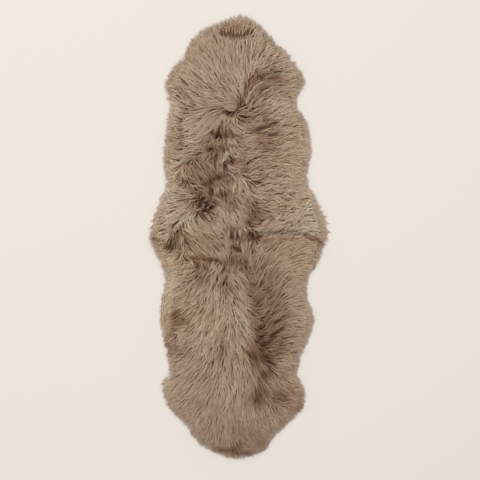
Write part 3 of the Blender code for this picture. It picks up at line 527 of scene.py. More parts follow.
    (24, -100, 56, 36, 0.5, 85, 0.1), (-256, -340, 16, 112, 0.4, 0, 0, 0.1),
    (-296, -352, 12, 104, -0.15, 0, 0, 0.4), (-212, -340, 32, 20, 0.3, 45),
    (-96, -312, 96, 136, -0.2), (-144, -300, 12, 20, 0.35, 50), (-68, -452, 20, 72, 0.3),
    (-8, -476, 16, 16, 0.35), (-32, -92, 24, 24, 0.3), (-76, -120, 20, 20, 0.2),
    (-148, -160, 24, 28, 0.3), (-268, -92, 32, 16, -0.2), (-272, -212, 24, 72, -0.15),
    (-292, -440, 16, 32, 0.45), (-240, -320, 24, 24, 0.2), (-300, -372, 12, 56, 0.2),
    (-12, -292, 28, 32, -0.2), (-144, -452, 24, 40, -0.15), (-148, -336, 20, 32, -0.15),
    (-80, -120, 20, 16, 0.3), (-124, -80, 28, 16, 0.3, -15), (-28, -100, 24, 24, 0.25),
    (-36, -216, 20, 20, 0.2), (16, -152, 20, 20, 0.2), (-84, -484, 20, 32, 0.2),
    (-284, -244, 20, 48, -0.15), (-252, -384, 12, 40, -0.2), (-28, -60, 20, 20, 0.25),
    (-4, -108, 20, 20, 0.2), (24, -192, 20, 16, 0.25), (-156, -196, 20, 20, 0.2),
    (-260, -80, 24, 16, -0.2), (-300, -340, 12, 32, 0.25), (-268, -448, 20, 20, 0.25),
    (-80, -120, 16, 16, 0.3), (-140, 36, 24, 20, -0.1, -40), (-80, -40, 20, 16, 0.15),
    (-56, -224, 20, 20, 0.15), (-236, -348, 16, 24, 0.2), (-24, -444, 20, 28, -0.15),
    (-8, -280, 20, 24, -0.12), (-84, -120, 20, 16, 0.3), (-272, -236, 16, 56, -0.12),
    (-156, -472, 28, 56, -0.12), (-184, -280, 20, 24, -0.12), (-260, -180, 24, 24, -0.12),
    (-80, -136, 20, 16, 0.3), (-144, -208, 20, 20, 0.2), (-248, -308, 20, 20, 0.2),
    (-100, -228, 20, 20, -0.15), (-140, -108, 24, 16, 0.2), (-100, -180, 20, 20, 0.18),
    (-44, -228, 20, 20, 0.15), (-236, -116, 24, 16, 0.15), (-172, -280, 24, 20, -0.15),
    (-4, -352, 20, 28, -0.18), (-40, -552, 20, 24, -0.18), (-80, -128, 16, 16, 0.2),
    (-260, -572, 20, 20, 0.18), (-80, -128, 16, 16, 0.2), (-140, -112, 20, 16, 0.12),
    (-100, -184, 20, 16, 0.12), (-72, -216, 20, 16, 0.12),
    # lower pelt, the hollow and the right
    (60, -212, 16, 28, 0.35, 0, 0.1), (76, -276, 36, 56, 0.35, 0, 0, 0.1),
    (92, -364, 44, 52, 0.6, 30, 0.1), (104, -452, 56, 48, 0.5, 0, 0.1),
    (116, -500, 40, 20, 0.7, -35), (100, -556, 24, 24, 0.6), (136, -276, 56, 104, 0.45, 20, 0, 0.5),
    (244, -232, 80, 240, -0.1, 0, 0, 1), (184, -84, 136, 96, 0, 0, 0, 1),
    (176, -580, 80, 64, 0.1, -30, 0, 0.9), (184, -508, 32, 24, -0.2), (48, -464, 20, 36, 0.35),
    (68, -208, 20, 24, -0.2), (88, -316, 20, 40, -0.2), (184, -296, 16, 64, 0.2),
    (76, -148, 24, 24, 0.2), (288, -316, 24, 40, -0.2), (68, -480, 20, 24, 0.35),
    (132, -484, 28, 16, 0.3, -30), (176, -440, 16, 36, 0.25), (68, -392, 12, 24, 0.25),
    (64, -208, 16, 24, -0.2), (88, -320, 16, 32, -0.15), (60, -524, 16, 24, 0.25),
    (124, -564, 20, 20, 0.2), (140, -148, 24, 24, 0.15), (44, -464, 20, 24, 0.2),
    (76, -220, 8, 48, -0.15, -15), (124, -532, 24, 20, 0.25), (72, -420, 16, 20, 0.25),
    (48, -296, 16, 20, 0.15), (108, -436, 24, 16, -0.15), (172, -512, 24, 20, -0.15),
    (164, -208, 24, 20, 0.12), (52, -216, 16, 20, 0.3), (44, -80, 20, 16, 0.15),
    (84, -504, 16, 24, 0.3), (120, -568, 20, 20, 0.15), (68, -248, 28, 48, 0.22, 10, 0.05),
    (144, -272, 32, 64, 0.06), (80, -420, 16, 16, 0.2), (144, -480, 20, 16, 0.18),
    (44, -212, 16, 16, 0.15), (256, -16, 24, 20, 0.15), (100, -400, 20, 16, 0.15),
    (76, -440, 16, 16, 0.15), (36, -428, 16, 16, -0.12), (232, -224, 24, 20, 0.12),
    # tail
    (72, -636, 40, 40, 0.65, 0, 0.1, 0.4), (168, -636, 36, 24, 0.45, -30, 0, 0.6),
    (-124, -668, 240, 176, 0.05, 0, 0, 1), (44, -748, 240, 136, 0.06, 0, 0, 1),
    (-92, -732, 40, 56, 0.04), (4, -832, 16, 12, 0.7, 0, 0.1), (-36, -860, 64, 16, 0.6, -4),
    (204, -676, 64, 96, 0.05, 0, 0, 1), (-196, -652, 96, 136, 0, -50, 0, 1),
    (140, -648, 40, 20, 0.2), (36, -812, 88, 40, 0.2), (36, -596, 12, 40, -0.15),
    (52, -876, 64, 16, 0.7), (-144, -836, 40, 20, 0.2, -35), (192, -624, 40, 24, 0.2),
    (80, -664, 24, 16, 0.2), (28, -780, 48, 32, 0.12), (80, -820, 24, 20, 0.2),
    (-104, -812, 24, 20, 0.15), (-176, -616, 24, 32, -0.12), (44, -612, 12, 32, -0.12),
    (-60, -592, 56, 56, -0.08), (92, -836, 24, 24, 0.15, -40), (252, -696, 20, 24, 0.4, -50),
    (184, -752, 24, 20, 0.2, -45), (68, -656, 24, 20, 0.2), (244, -708, 24, 32, 0.15, -50),
    (76, -636, 36, 40, 0.12, 0, 0, 0.05), (188, -652, 48, 56, 0.08, -40, 0, 0.05),
    (-60, -632, 64, 72, -0.08, 0, 0, 0.05), (4, -788, 32, 24, 0.12), (188, -668, 20, 16, -0.1),
    # further patches, from the head to the tail
    (204, 700, 32, 32, -0.2, 0, 0, 0.3), (-132, 660, 56, 48, -0.2, 0, 0, 0.6),
    (-12, 564, 32, 32, -0.15, 0, 0, 0.3), (-184, 540, 32, 20, -0.25, -20), (4, 392, 32, 16, 0.2),
    (44, 500, 28, 20, 0.15, 0, 0.2), (-92, 316, 32, 32, 0.35, 0, 0.2), (-236, 268, 40, 28, -0.35),
    (-76, 260, 32, 32, 0.35, 0, 0.2), (8, 268, 24, 32, 0.2), (28, 228, 24, 24, -0.2),
    (-188, 196, 32, 16, 0.25, 0, 0.2), (-108, 188, 24, 24, 0.35, 0, 0.2),
    (-36, 164, 24, 40, 0.4, 0, 0.1), (-76, 128, 28, 28, 0.3, 0, 0.1),
    (284, 128, 48, 72, -0.3, 0, 0, 0.3), (-212, 60, 56, 32, -0.35, -20),
    (-296, 20, 32, 24, -0.3, 30), (-276, -44, 32, 16, 0.45, 0, 0.1),
    (-16, -32, 40, 28, 0.35, 0, 0.1), (64, -36, 24, 20, 0.3), (-68, -116, 28, 28, 0.4, 0, 0.1),
    (92, -116, 24, 24, 0.2), (132, -152, 40, 56, 0.25, 0, 0, 0.3), (-160, -160, 28, 32, 0.35),
    (100, -208, 28, 32, 0.4), (-44, -216, 20, 24, 0.35), (-276, -212, 32, 64, -0.25),
    (12, -340, 24, 48, -0.2), (-164, -380, 40, 48, -0.2, 60), (148, -404, 48, 80, 0.4, 10, 0, 0.2),
    (-288, -440, 12, 40, 0.5), (-236, -468, 32, 40, 0.25), (60, -492, 16, 32, 0.45),
    (108, -596, 32, 64, 0.25, 0, 0, 0.3), (-44, -652, 64, 96, -0.12, 0, 0, 0.8),
    (244, -696, 28, 24, 0.35, -50), (4, -864, 104, 32, 0.2, -4),
    # small dark spots of painted shade in the gaps between the locks
    (-120, 348, 8, 6, 0.8, 0, 0.2), (-108, 352, 6, 8, 0.8, 0, 0.2), (-128, 316, 6, 6, 0.6),
    (-104, 312, 8, 10, 0.4, 0, 0.2), (-148, 332, 6, 6, 0.5), (-68, 348, 20, 12, 0.4, 30, 0.4),
    (-96, 324, 12, 20, 0.3, 0, 0.2), (-40, 296, 20, 8, 0.5, 10), (-68, 280, 12, 6, 0.5, -10),
    (-80, 236, 6, 6, 1.1), (-64, 244, 16, 16, 0.4, 0, 0.4), (-44, 220, 12, 8, 0.5, 0, 0.2),
    (-104, 180, 12, 10, 0.7), (-64, 168, 12, 16, 0.6, 0, 0.3), (-52, 164, 8, 6, 0.5),
    (-32, 132, 6, 12, 0.5), (-208, 216, 12, 6, 0.8, -40), (-172, 212, 12, 6, 0.6, -30),
    (-132, 212, 12, 6, 0.9, -10), (-112, 220, 12, 8, 0.8, -40), (-100, 232, 6, 6, 0.7),
    (-164, 236, 6, 6, 0.7), (-148, 232, 8, 6, 0.7, -30), (-180, 244, 6, 8, 0.5),
    (-224, 232, 6, 6, 0.5), (-236, 224, 8, 6, 0.6), (-176, 148, 6, 6, 0.7), (-152, 160, 6, 6, 0.6),
    (-148, 148, 10, 6, 1), (-152, 132, 6, 8, 1), (-132, 132, 10, 6, 1.1, -15),
    (-160, 120, 6, 6, 1.3), (-112, 120, 8, 6, 1.3), (-116, 148, 8, 6, 0.8, -20),
    (-112, 164, 10, 6, 0.9, -50), (-100, 140, 8, 6, 0.6), (-88, 132, 12, 6, 0.8, -40),
    (-100, 124, 8, 6, 0.8), (-132, 108, 8, 6, 0.9), (-116, 108, 8, 6, 0.6), (-128, 92, 14, 6, 0.7),
    (-148, 100, 8, 6, 0.5), (-172, 92, 8, 6, 0.5), (-180, 296, 52, 16, -0.3, 35, 0, 0.6),
    (-64, 436, 8, 6, 0.8, -40), (-80, 416, 6, 12, 1.2), (-92, 404, 6, 6, 0.9),
    (-104, 412, 8, 6, 0.7, -40), (-44, 416, 16, 8, 0.6, 0, 0.3), (-48, 400, 8, 6, 0.5),
    (-20, 400, 8, 6, 0.8), (-68, 356, 20, 16, 0.3, 0, 0.3), (-40, 492, 8, 6, 0.9),
    (16, 480, 16, 8, 0.45, 0, 0.2), (-84, 472, 8, 6, 0.5), (-28, -4, 6, 8, 0.8), (-12, 0, 6, 12, 1),
    (4, -4, 6, 8, 0.8), (36, 8, 10, 10, 0.6, 0, 0.2), (52, 4, 8, 12, 0.7), (52, -16, 6, 6, 0.8),
    (40, 56, 10, 6, 0.9), (-276, -40, 24, 12, 0.5), (76, -188, 24, 12, 0.3, 0, 0.1),
    (-16, 248, 64, 88, 0, 0, 0.35), (144, 128, 120, 96, 0, 0, 0.22), (-284, 92, 48, 72, 0, 0, 0.35),
    (300, 60, 40, 56, 0, 0, 0.3),
]

# Single locks that lie over the rest. The patches' painted shade does not reach them, so those with
# paleness below 0, mostly in the knot and the left wing, are partly painted shade.
LOCKS = [
    # root x, root y, tip x, tip y, width, bend to the left, paleness
    # head end and whorl
    (-44, 342, -68, 302, 13, 4, 1), (-54, 324, -77, 284, 10, 2, 0.9),
    (-52, 336, -70, 298, 6, 1, 0.6), (-66, 490, -88, 450, 15, 4, 0.4),
    (-54, 488, -66, 446, 14, 3, 0.3), (-40, 482, -40, 440, 13, -2, 0.15),
    (-26, 478, -12, 440, 14, -3, 0.4), (-16, 510, -80, 506, 16, -4, 0.42),
    (-6, 520, -84, 520, 18, 0, 0.48), (-6, 532, -80, 540, 18, 2, 0.46),
    (-12, 544, -76, 562, 18, 4, 0.46), (-24, 554, -72, 588, 16, 4, 0.44),
    (28, 532, 54, 572, 10, 3, 0.45), (44, 520, 72, 564, 9, 4, 0.42), (60, 516, 92, 556, 9, 4, 0.36),
    (36, 556, 66, 596, 10, 3, 0.42), (76, 532, 112, 568, 10, 4, 0.45),
    (32, 508, 72, 530, 8, 3, 0.32), (56, 500, 104, 520, 8, 3, 0.34), (52, 588, 92, 612, 9, 4, 0.36),
    (68, 604, 116, 618, 9, 4, 0.36), (92, 572, 140, 594, 9, 4, 0.36),
    (-118, 500, -208, 396, 18, 6, 0.52), (-96, 492, -176, 396, 18, 5, 0.55),
    (-76, 480, -150, 392, 16, 5, 0.4),
    # middle of the upper pelt
    (-212, 288, -182, 228, 8, 6, 0), (-194, 292, -164, 228, 8, 3, -0.08),
    (-176, 304, -136, 236, 8, 7, 0.02), (-154, 304, -118, 236, 8, 4, -0.08),
    (-136, 304, -100, 244, 8, 6, 0), (-120, 296, -88, 248, 8, 4, 0.05),
    (-224, 264, -198, 208, 8, 4, 0.05), (-184, 260, -150, 208, 7, 3, 0),
    (-148, 260, -116, 212, 7, 3, -0.1), (-44, 396, -40, 348, 7, 2, 0.42),
    (-28, 384, -12, 352, 7, 2, 0.42), (-44, 392, -30, 350, 10, 5, 0.42),
    (-24, 392, -4, 346, 10, 4, 0.38), (4, 224, -4, 152, 16, 5, 0.6),
    (-12, 216, -24, 156, 14, -4, 0.55), (18, 204, 46, 160, 16, 6, 0.6),
    (26, 178, 66, 168, 14, -4, 0.5), (-196, 202, -112, 196, 7, 3, 0.15),
    (-84, 202, -80, 158, 10, -3, 0.3), (-96, 196, -100, 150, 9, 3, 0.1),
    # knot
    (-184, 160, -156, 172, 5, 3, -0.05), (-156, 154, -132, 166, 5, 4, -0.15),
    (-140, 140, -118, 150, 4, 3, -0.2), (-148, 122, -124, 130, 5, 4, -0.15),
    (-168, 130, -154, 144, 4, 3, -0.15), (-154, 110, -136, 120, 4, 3, -0.15),
    (-128, 114, -108, 126, 5, 3, -0.1), (-112, 132, -92, 122, 5, 3, 0),
    (-176, 100, -140, 108, 7, 6, 0.1), (-140, 96, -116, 88, 6, 0, 0),
    (-132, 88, -106, 48, 10, 5, 0.25),
    # right wing
    (216, 48, 262, 96, 15, 4, 0.55), (236, 40, 286, 84, 14, 5, 0.5), (92, 44, 138, 76, 13, 5, 0.55),
    (112, 32, 164, 56, 14, 4, 0.5), (76, 28, 116, 40, 8, 2, 0.5), (92, 20, 144, 32, 8, 0, 0.45),
    # left wing
    (-250, 90, -290, 52, 15, -5, 0.55), (-208, 132, -252, 84, 15, -5, 0.5),
    (-200, 62, -120, -36, 15, 6, 0.4), (-168, 74, -84, -14, 14, 7, 0.42),
    (-108, 52, -44, -4, 16, 6, 0.5), (-230, 8, -232, -52, 7, 2, 0.48),
    (-238, 0, -246, -48, 6, 3, 0.05), (-222, 4, -218, -48, 6, -2, 0.2),
    (-224, -58, -284, -66, 6, -7, 0.15), (-250, 8, -258, -46, 4, -3, -0.3),
    (-262, 2, -272, -50, 4, 4, -0.4), (-272, -4, -286, -46, 4, -2, -0.3),
    (-244, 4, -266, -32, 4, 4, -0.2), (-244, -64, -316, -72, 8, 2, 0.42),
    # over the seam
    (-16, 28, -18, -24, 8, 2, 0.22), (2, 32, 10, -20, 8, -2, 0.45), (16, 40, 34, 2, 8, 4, 0.5),
    (36, 40, 50, 12, 8, 4, 0.45), (-8, -16, -6, -48, 6, 2, 0.3), (-40, 28, -42, -20, 9, 0, 0.34),
    (28, -16, 24, -68, 8, 4, 0.26), (50, -16, 38, -60, 7, -4, 0.22), (8, -64, -28, -66, 6, 3, 0.2),
    (-56, 20, -30, -50, 14, -4, 0.38), (12, -20, 16, -84, 15, 3, 0.42),
    # lower pelt
    (-82, -98, -124, -158, 17, 5, 0.65), (-76, -108, -110, -172, 15, 4, 0.6),
    (-98, -96, -132, -140, 13, 6, 0.5), (-62, -104, -92, -160, 10, 3, 0.05),
    (-4, -140, 42, -196, 14, 6, 0.46), (-20, -148, 20, -222, 14, 5, 0.42),
    (-124, -190, -196, -266, 15, -6, 0.42), (-92, -250, -128, -330, 16, -4, 0.46),
    (-44, -260, -30, -340, 16, 3, 0.42), (4, -262, 46, -338, 16, 5, 0.44),
]

# Where the wool is warmer in hue (above 0) or greyer (below 0), placed where a comparison of
# hue between a render and the photo showed a difference
WARMTHS = [
    # x, y, half length, half width, warmth
    (-16, 844, 80, 24, -0.5), (64, 648, 56, 80, -0.5), (-268, 316, 56, 56, 0.8),
    (184, 348, 88, 120, 0.6), (-84, 288, 64, 88, -0.6), (-96, 216, 48, 48, -0.4),
    (-132, 148, 48, 40, -0.5), (172, 108, 80, 64, 0.7), (-56, 88, 48, 64, 0.6),
    (-188, 36, 88, 48, 1), (28, 20, 96, 24, -0.4), (-244, -52, 72, 64, 1.2),
    (228, -100, 72, 96, 0.8), (-252, -204, 64, 96, 0.9), (-136, -300, 120, 80, 0.9),
    (92, -412, 64, 120, -0.7), (144, -632, 120, 72, -0.6), (4, -780, 176, 80, -1.4),
    (4, -872, 120, 40, -1.2),
]

# Locks and tufts
SEAM_LOW = -10.0  # y below which a lock's root is on the lower pelt
TUFT_SHADE = 0.6
LOCK_STRANDS = 7
LOCK_POINTS = 9
LOCK_LIFT = 5.0  # of its middle above the wool
LOCK_STRAND = 3.2  # width of each of its strands
LOCK_SEED = 5
TUFT_CALM = 0.3

# Strands: one row for each kind of wool, with the values of these inputs after its name
WOOL_INPUTS = [
    ("Root Gap", MM),
    ("Length", MM),
    ("Width", MM),
    ("Points", None),
    ("Heading Scatter", None),
    ("Clump Pull", None),
    ("Least Room", MM),
    ("Most Room", MM),
    ("Shortfall", MM),
    ("Overhang", MM),
    ("Crimps", None),
    ("Seed", None),
]
WOOL = [
    ("long", 7.6, 72.0, 6.4, 9, 7.0, 0.70, 30.0, 900.0, 10.0, 7.0, 2.2, 3),
    ("fine", 6.8, 56.0, 3.6, 6, 12.0, 0.50, 22.0, 900.0, 5.0, 7.0, 1.7, 29),
    ("rim", 4.6, 42.0, 2.2, 5, 14.0, 0.35, 5.0, 36.0, -1.0, 8.0, 1.0, 41),
]
WOOL_LOOKS = "along around shade shadow rim calm warmth drift".split()  # that its material reads
PLANTING_NAMES = (  # that only the planting reads
    "comb sweep cover tangle room rough zone root to_middle clump reach phase loft layer roll"
).split()
ZONES = ["head", "shoulder", "rump", "tail"]
ZONE_EDGE = {1: 440.0, -1: -440.0}  # y that parts each pelt's two zones


def smooth_run(points, closed=False, pieces=12):
    """Catmull-Rom points through the given ones."""
    points = [np.array(p, float) for p in points]
    if closed:
        padded = [points[-1], *points, points[0], points[1]]
    else:
        padded = [2 * points[0] - points[1], *points, 2 * points[-1] - points[-2]]
    run = []
    for before, start, end, after in zip(padded, padded[1:], padded[2:], padded[3:]):
        for t in np.arange(pieces) / pieces:
            run.append(
                0.5
                * (
                    2 * start
                    + (end - before) * t
                    + (2 * before - 5 * start + 4 * end - after) * t**2
                    + (3 * start - before - 3 * end + after) * t**3
                )
            )
    run.append(points[0] if closed else points[-1])
    return np.array(run)


def even_run(run, step):
    """The same run with its points an even distance apart."""
    along = np.concatenate([[0.0], np.cumsum(np.linalg.norm(np.diff(run, axis=0), axis=1))])
    stops = np.linspace(0, along[-1], max(2, round(along[-1] / step) + 1))
    return np.column_stack([np.interp(stops, along, run[:, k]) for k in (0, 1)])


RIM = even_run(
    smooth_run(
        [(row[1], row[0]) for row in OUTLINE] + [(row[2], row[0]) for row in reversed(OUTLINE)],
        closed=True,
    ),
    RIM_STEP,
)
SEAM_RUN = smooth_run(SEAM)


def distance_to(points, run):
    """How far each point is from a run of points joined by straight lines."""
    found = np.full(len(points), np.inf)
    for start, end in zip(run[:-1], run[1:]):
        way = end - start
        share = np.clip(((points - start) @ way) / max(way @ way, 1e-9), 0, 1)
        found = np.minimum(found, np.linalg.norm(points - start - share[:, None] * way, axis=1))
    return found


def inside(points, loop):
    """Which points lie inside a closed loop."""
    odd = np.zeros(len(points), bool)
    for a, b in zip(loop, np.roll(loop, -1, axis=0)):
        if a[1] == b[1]:
            continue
        spans = (a[1] > points[:, 1]) != (b[1] > points[:, 1])
        crossing = a[0] + (points[:, 1] - a[1]) * (b[0] - a[0]) / (b[1] - a[1])
        odd ^= spans & (points[:, 0] < crossing)
    return odd


def drawn_in(inset, step):
    """The rim moved inward by a distance."""
    turned = np.roll(RIM[:-1], -1, axis=0) - np.roll(RIM[:-1], 1, axis=0)
    turned /= np.linalg.norm(turned, axis=1)[:, None]
    inward = np.column_stack([-turned[:, 1], turned[:, 0]])
    moved = RIM[:-1] + inset * inward
    kept = moved[distance_to(moved, RIM) > inset * 0.93]
    return even_run(np.vstack([kept, kept[:1]]), step)[:-1]


def pelt_loop(side, inset, step, gap=HIDE_SEAM_GAP):
    """One pelt's outline: the rim drawn in and closed along the seam, with the pelt on its left."""
    loop = drawn_in(inset, step)
    seam_y = np.interp(loop[:, 0], SEAM_RUN[:, 0], SEAM_RUN[:, 1])
    own = side * (loop[:, 1] - seam_y) > step / 2
    first = next(k for k in range(len(own)) if own[k] and not own[k - 1])
    kept = np.roll(loop, -first, axis=0)[: own.sum()]
    start, end = kept[-1][0], kept[0][0]
    xs = np.linspace(start, end, round(abs(end - start) / step) + 1)
    ys = np.interp(xs, SEAM_RUN[:, 0], SEAM_RUN[:, 1]) + side * gap / 2
    return np.vstack([kept, np.column_stack([xs, ys])])


def spread_points(loop, step, clear=FIELD_CLEAR):
    """Points inside a loop in staggered rows."""
    low, high = loop.min(0), loop.max(0)
    rise = step * math.sqrt(0.75)
    rows = [
        np.column_stack([np.arange(low[0] + (k % 2) * step / 2, high[0], step)] * 2)
        for k in range(int((high[1] - low[1]) / rise) + 1)
    ]
    for k, row in enumerate(rows):
        row[:, 1] = low[1] + k * rise
    found = np.vstack(rows)
    found = found[inside(found, loop)]
    return found[distance_to(found, np.vstack([loop, loop[:1]])) > clear * step]


def filled(loop, inner):
    """Points and upward triangles that fill a closed loop."""
    points = np.vstack([loop, inner]) if len(inner) else loop
    sides = [(k, (k + 1) % len(loop)) for k in range(len(loop))]
    made, _, faces, _, _, _ = delaunay_2d_cdt([Vector(p) for p in points], sides, [], 1, 1e-5)
    made = np.array([tuple(p) for p in made])
    faces = np.array(faces)
    a, b, c = made[faces[:, 0]], made[faces[:, 1]], made[faces[:, 2]]
    turned = (b[:, 0] - a[:, 0]) * (c[:, 1] - a[:, 1]) - (b[:, 1] - a[:, 1]) * (c[:, 0] - a[:, 0])
    faces[turned < 0] = faces[turned < 0][:, ::-1]
    return made, faces


def packed_heights():
    """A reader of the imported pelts' height at any place, in mm."""
    points, faces = [], []
    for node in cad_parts.values():
        start = len(points)
        points += [node.matrix_world @ v.co for v in node.data.vertices]
        faces += [[start + k for k in face.vertices] for face in node.data.polygons]
    tree = BVHTree.FromPolygons(points, faces)

    def read(x, y):
        place = Vector(((x + RIM_SHIFT[0]) * MM, (y + RIM_SHIFT[1]) * MM, 1.0))
        hit = tree.ray_cast(place, Vector((0, 0, -1)))[0]
        return hit.z / MM if hit else 0.0

    return read


READ_HEIGHT = packed_heights()


def wool_tops(points, rim_distance):
    """How high the wool stands at each point: as packed, and rolled down at the rim."""
    packed = np.array([READ_HEIGHT(x, y) for x, y in points])
    share = np.clip(rim_distance / RIM_ROLL, 0, 1)
    rolled = RIM_LOW + (RIM_HIGH - RIM_LOW) * np.sqrt(1 - (1 - share) ** 2)
    return np.where(rim_distance < RIM_ROLL, rolled, np.maximum(packed, RIM_HIGH * 0.5))


def stroked(points):
    """Arrows of the way the wool lies at each point, from the brush strokes."""
    table = np.array(COMB, float)
    heading = np.radians(table[:, 2])
    arrows = np.column_stack([np.cos(heading), np.sin(heading)])
    gap = np.linalg.norm(points[:, None, :] - table[None, :, :2], axis=2)
    weight = 1 / (gap**2 + STROKE_REACH**2) ** 2.5
    pull = weight @ arrows
    return pull / np.maximum(np.linalg.norm(pull, axis=1), 1e-9)[:, None]


def gridded(worked_out, step):
    """A reader of something worked out once on an even grid over the throw."""
    low = RIM.min(0) - 3 * step
    counts = np.ceil((RIM.max(0) + 3 * step - low) / step).astype(int) + 1
    xs, ys = np.meshgrid(*(low[k] + step * np.arange(counts[k]) for k in (0, 1)), indexing="ij")
    values = worked_out(np.column_stack([xs.ravel(), ys.ravel()]))
    values = values.reshape(*counts, -1)

    def read(points):
        place = np.clip((points - low) / step, 0, counts - 1.001)
        cell = place.astype(int)
        share = place - cell
        i, j = cell[:, 0], cell[:, 1]
        a, b = share[:, :1], share[:, 1:]
        near = values[i, j] * (1 - a) + values[i + 1, j] * a
        far = values[i, j + 1] * (1 - a) + values[i + 1, j + 1] * a
        return near * (1 - b) + far * b

    return read


STROKES = gridded(stroked, GRID_STEP)


def combed(points):
    """Unit arrows of the way the wool lies at each point, gathered to the rim's tufts."""
    arrows = STROKES(points)
    for tuft in TUFTS:
        offset = np.array(tuft[2:4], float) - points
        gap = np.linalg.norm(offset, axis=1)[:, None]
        pull = np.exp(-((gap / TUFT_REACH) ** 2))
        arrows = arrows * (1 - pull) + offset / np.maximum(gap, 1e-6) * pull
    return arrows / np.maximum(np.linalg.norm(arrows, axis=1), 1e-9)[:, None]


def parting_shade(points):
    """How deep each point lies in the partings' painted shade."""
    shade = np.zeros(len(points))
    for width, depth, run in PARTINGS:
        near = distance_to(points, smooth_run(run, pieces=4)) / width
        shade = np.maximum(shade, depth * np.exp(-(near**2)))
    return shade


def nearness(points, x, y, half_length, half_width, turn=0):
    """How near each point is to a soft oval patch's middle: 1 there and 0 far off."""
    way = np.array([math.cos(math.radians(turn)), math.sin(math.radians(turn))])
    offset = points - (x, y)
    along, across = offset @ way, offset @ np.array([-way[1], way[0]])
    return np.exp(-((along / half_length) ** 2) - (across / half_width) ** 2)


def patch_looks(points):
    """Painted shade and light, tangle and calm of the patches at each point."""
    shade, tangle, calm = (np.zeros(len(points)) for _ in range(3))
    for *oval, depth, turn, knot, smooth in ((*row, 0, 0, 0)[:8] for row in PATCHES):
        near = nearness(points, *oval, turn)
        shade += depth * near
        tangle = np.maximum(tangle, knot * near)
        calm = np.maximum(calm, smooth * near)
    return shade, tangle, calm


def crosses(start, end, run):
    """Which of the short ways from start to end cross a run of points."""
    found = np.zeros(len(start), bool)
    way = end - start
    for a, b in zip(run[:-1], run[1:]):
        along = b - a
        across = way[:, 0] * along[1] - way[:, 1] * along[0]
        across = np.where(np.abs(across) < 1e-9, 1e-9, across)
        offset = a - start
        t = (offset[:, 0] * along[1] - offset[:, 1] * along[0]) / across
        u = (offset[:, 0] * way[:, 1] - offset[:, 1] * way[:, 0]) / across
        found |= (t >= 0) & (t < 1) & (u >= 0) & (u < 1)
    return found


def room_ahead(points):
    """How far a strand from each point can go the way of the comb, to the rim or over a stop."""
    stops = [(over, smooth_run(run, pieces=3)) for over, run in STOPS]
    place = points.copy()
    room = np.zeros(len(points))
    going = np.ones(len(points), bool)
    for _ in range(ROOM_STEPS):
        ahead = place + ROOM_STEP * STROKES(place)
        going &= READ_RIM(ahead)[:, 0] > 0
        for over, run in stops:
            stopped = going & crosses(place, ahead, run)
            room[stopped] += over
            going &= ~stopped
        room[going] += ROOM_STEP
        place[going] = ahead[going]
    return room


def signed_rim(points):
    """Distance from the rim, below nothing outside it."""
    return distance_to(points, RIM) * np.where(inside(points, RIM), 1, -1)


READ_RIM = gridded(signed_rim, GRID_STEP)
READ_TOPS = gridded(lambda points: wool_tops(points, np.maximum(signed_rim(points), 0)), GRID_STEP)


def new_object(name, data):
    """An object in the scene that holds the given mesh, lamp or camera."""
    obj = bpy.data.objects.new(name, data)
    bpy.context.scene.collection.objects.link(obj)
    return obj


def new_mesh(name, points, faces):
    """A mesh object from points in the tables' millimetres."""
    placed = np.array(points, float)
    placed[:, :2] += RIM_SHIFT
    mesh = bpy.data.meshes.new(name)
    mesh.from_pydata((placed * MM).tolist(), [], [list(map(int, face)) for face in faces])
    return new_object(name, mesh)


def set_field(mesh, name, values, kind="FLOAT", domain="POINT"):
    """Keeps a value for each point or face on a mesh."""
    attribute = mesh.attributes.new(name, kind, domain)
    key = "vector" if kind == "FLOAT_VECTOR" else "value"
    attribute.data.foreach_set(key, np.ascontiguousarray(values, np.float32).ravel())


def wool_field():
    """The surface over the wool's top that the strands grow under, with all that they read."""
    plan, faces = filled(RIM[:-1], spread_points(RIM[:-1], FIELD_STEP))
    rim_distance = distance_to(plan, RIM)
    tops = wool_tops(plan, rim_distance)
    comb = combed(plan)
    sweep = combed(plan + SWEEP_AHEAD * comb)
    shade, tangle, calm = wool_looks(plan, rim_distance)
    obj = new_mesh("wool_field", np.column_stack([plan, tops]), faces)
    flat = np.zeros(len(plan))
    set_field(obj.data, "comb", np.column_stack([comb, flat]), "FLOAT_VECTOR")
    set_field(obj.data, "sweep", np.column_stack([sweep, flat]), "FLOAT_VECTOR")
    # The cover carries the wool's top, the painted shade of patches and partings, and the paler rim
    # band, which is partly painted light
    rim = np.exp(-((rim_distance / PALE_RIM) ** 2))
    cover = np.column_stack([tops * MM, shade, rim])
    set_field(obj.data, "cover", cover, "FLOAT_VECTOR")
    set_field(obj.data, "tangle", tangle)
    set_field(obj.data, "calm", calm)
    set_field(obj.data, "warmth", sum(warm * nearness(plan, *oval) for *oval, warm in WARMTHS))
    set_field(obj.data, "room", room_ahead(plan) * MM)
    middles = plan[faces].mean(1)
    seam_y = np.interp(middles[:, 0], SEAM_RUN[:, 0], SEAM_RUN[:, 1])
    zone = np.where(
        middles[:, 1] > seam_y,
        np.where(middles[:, 1] > ZONE_EDGE[1], 0, 1),
        np.where(middles[:, 1] > ZONE_EDGE[-1], 2, 3),
    )
    set_field(obj.data, "zone", zone.astype(float), "FLOAT", "FACE")
    return obj


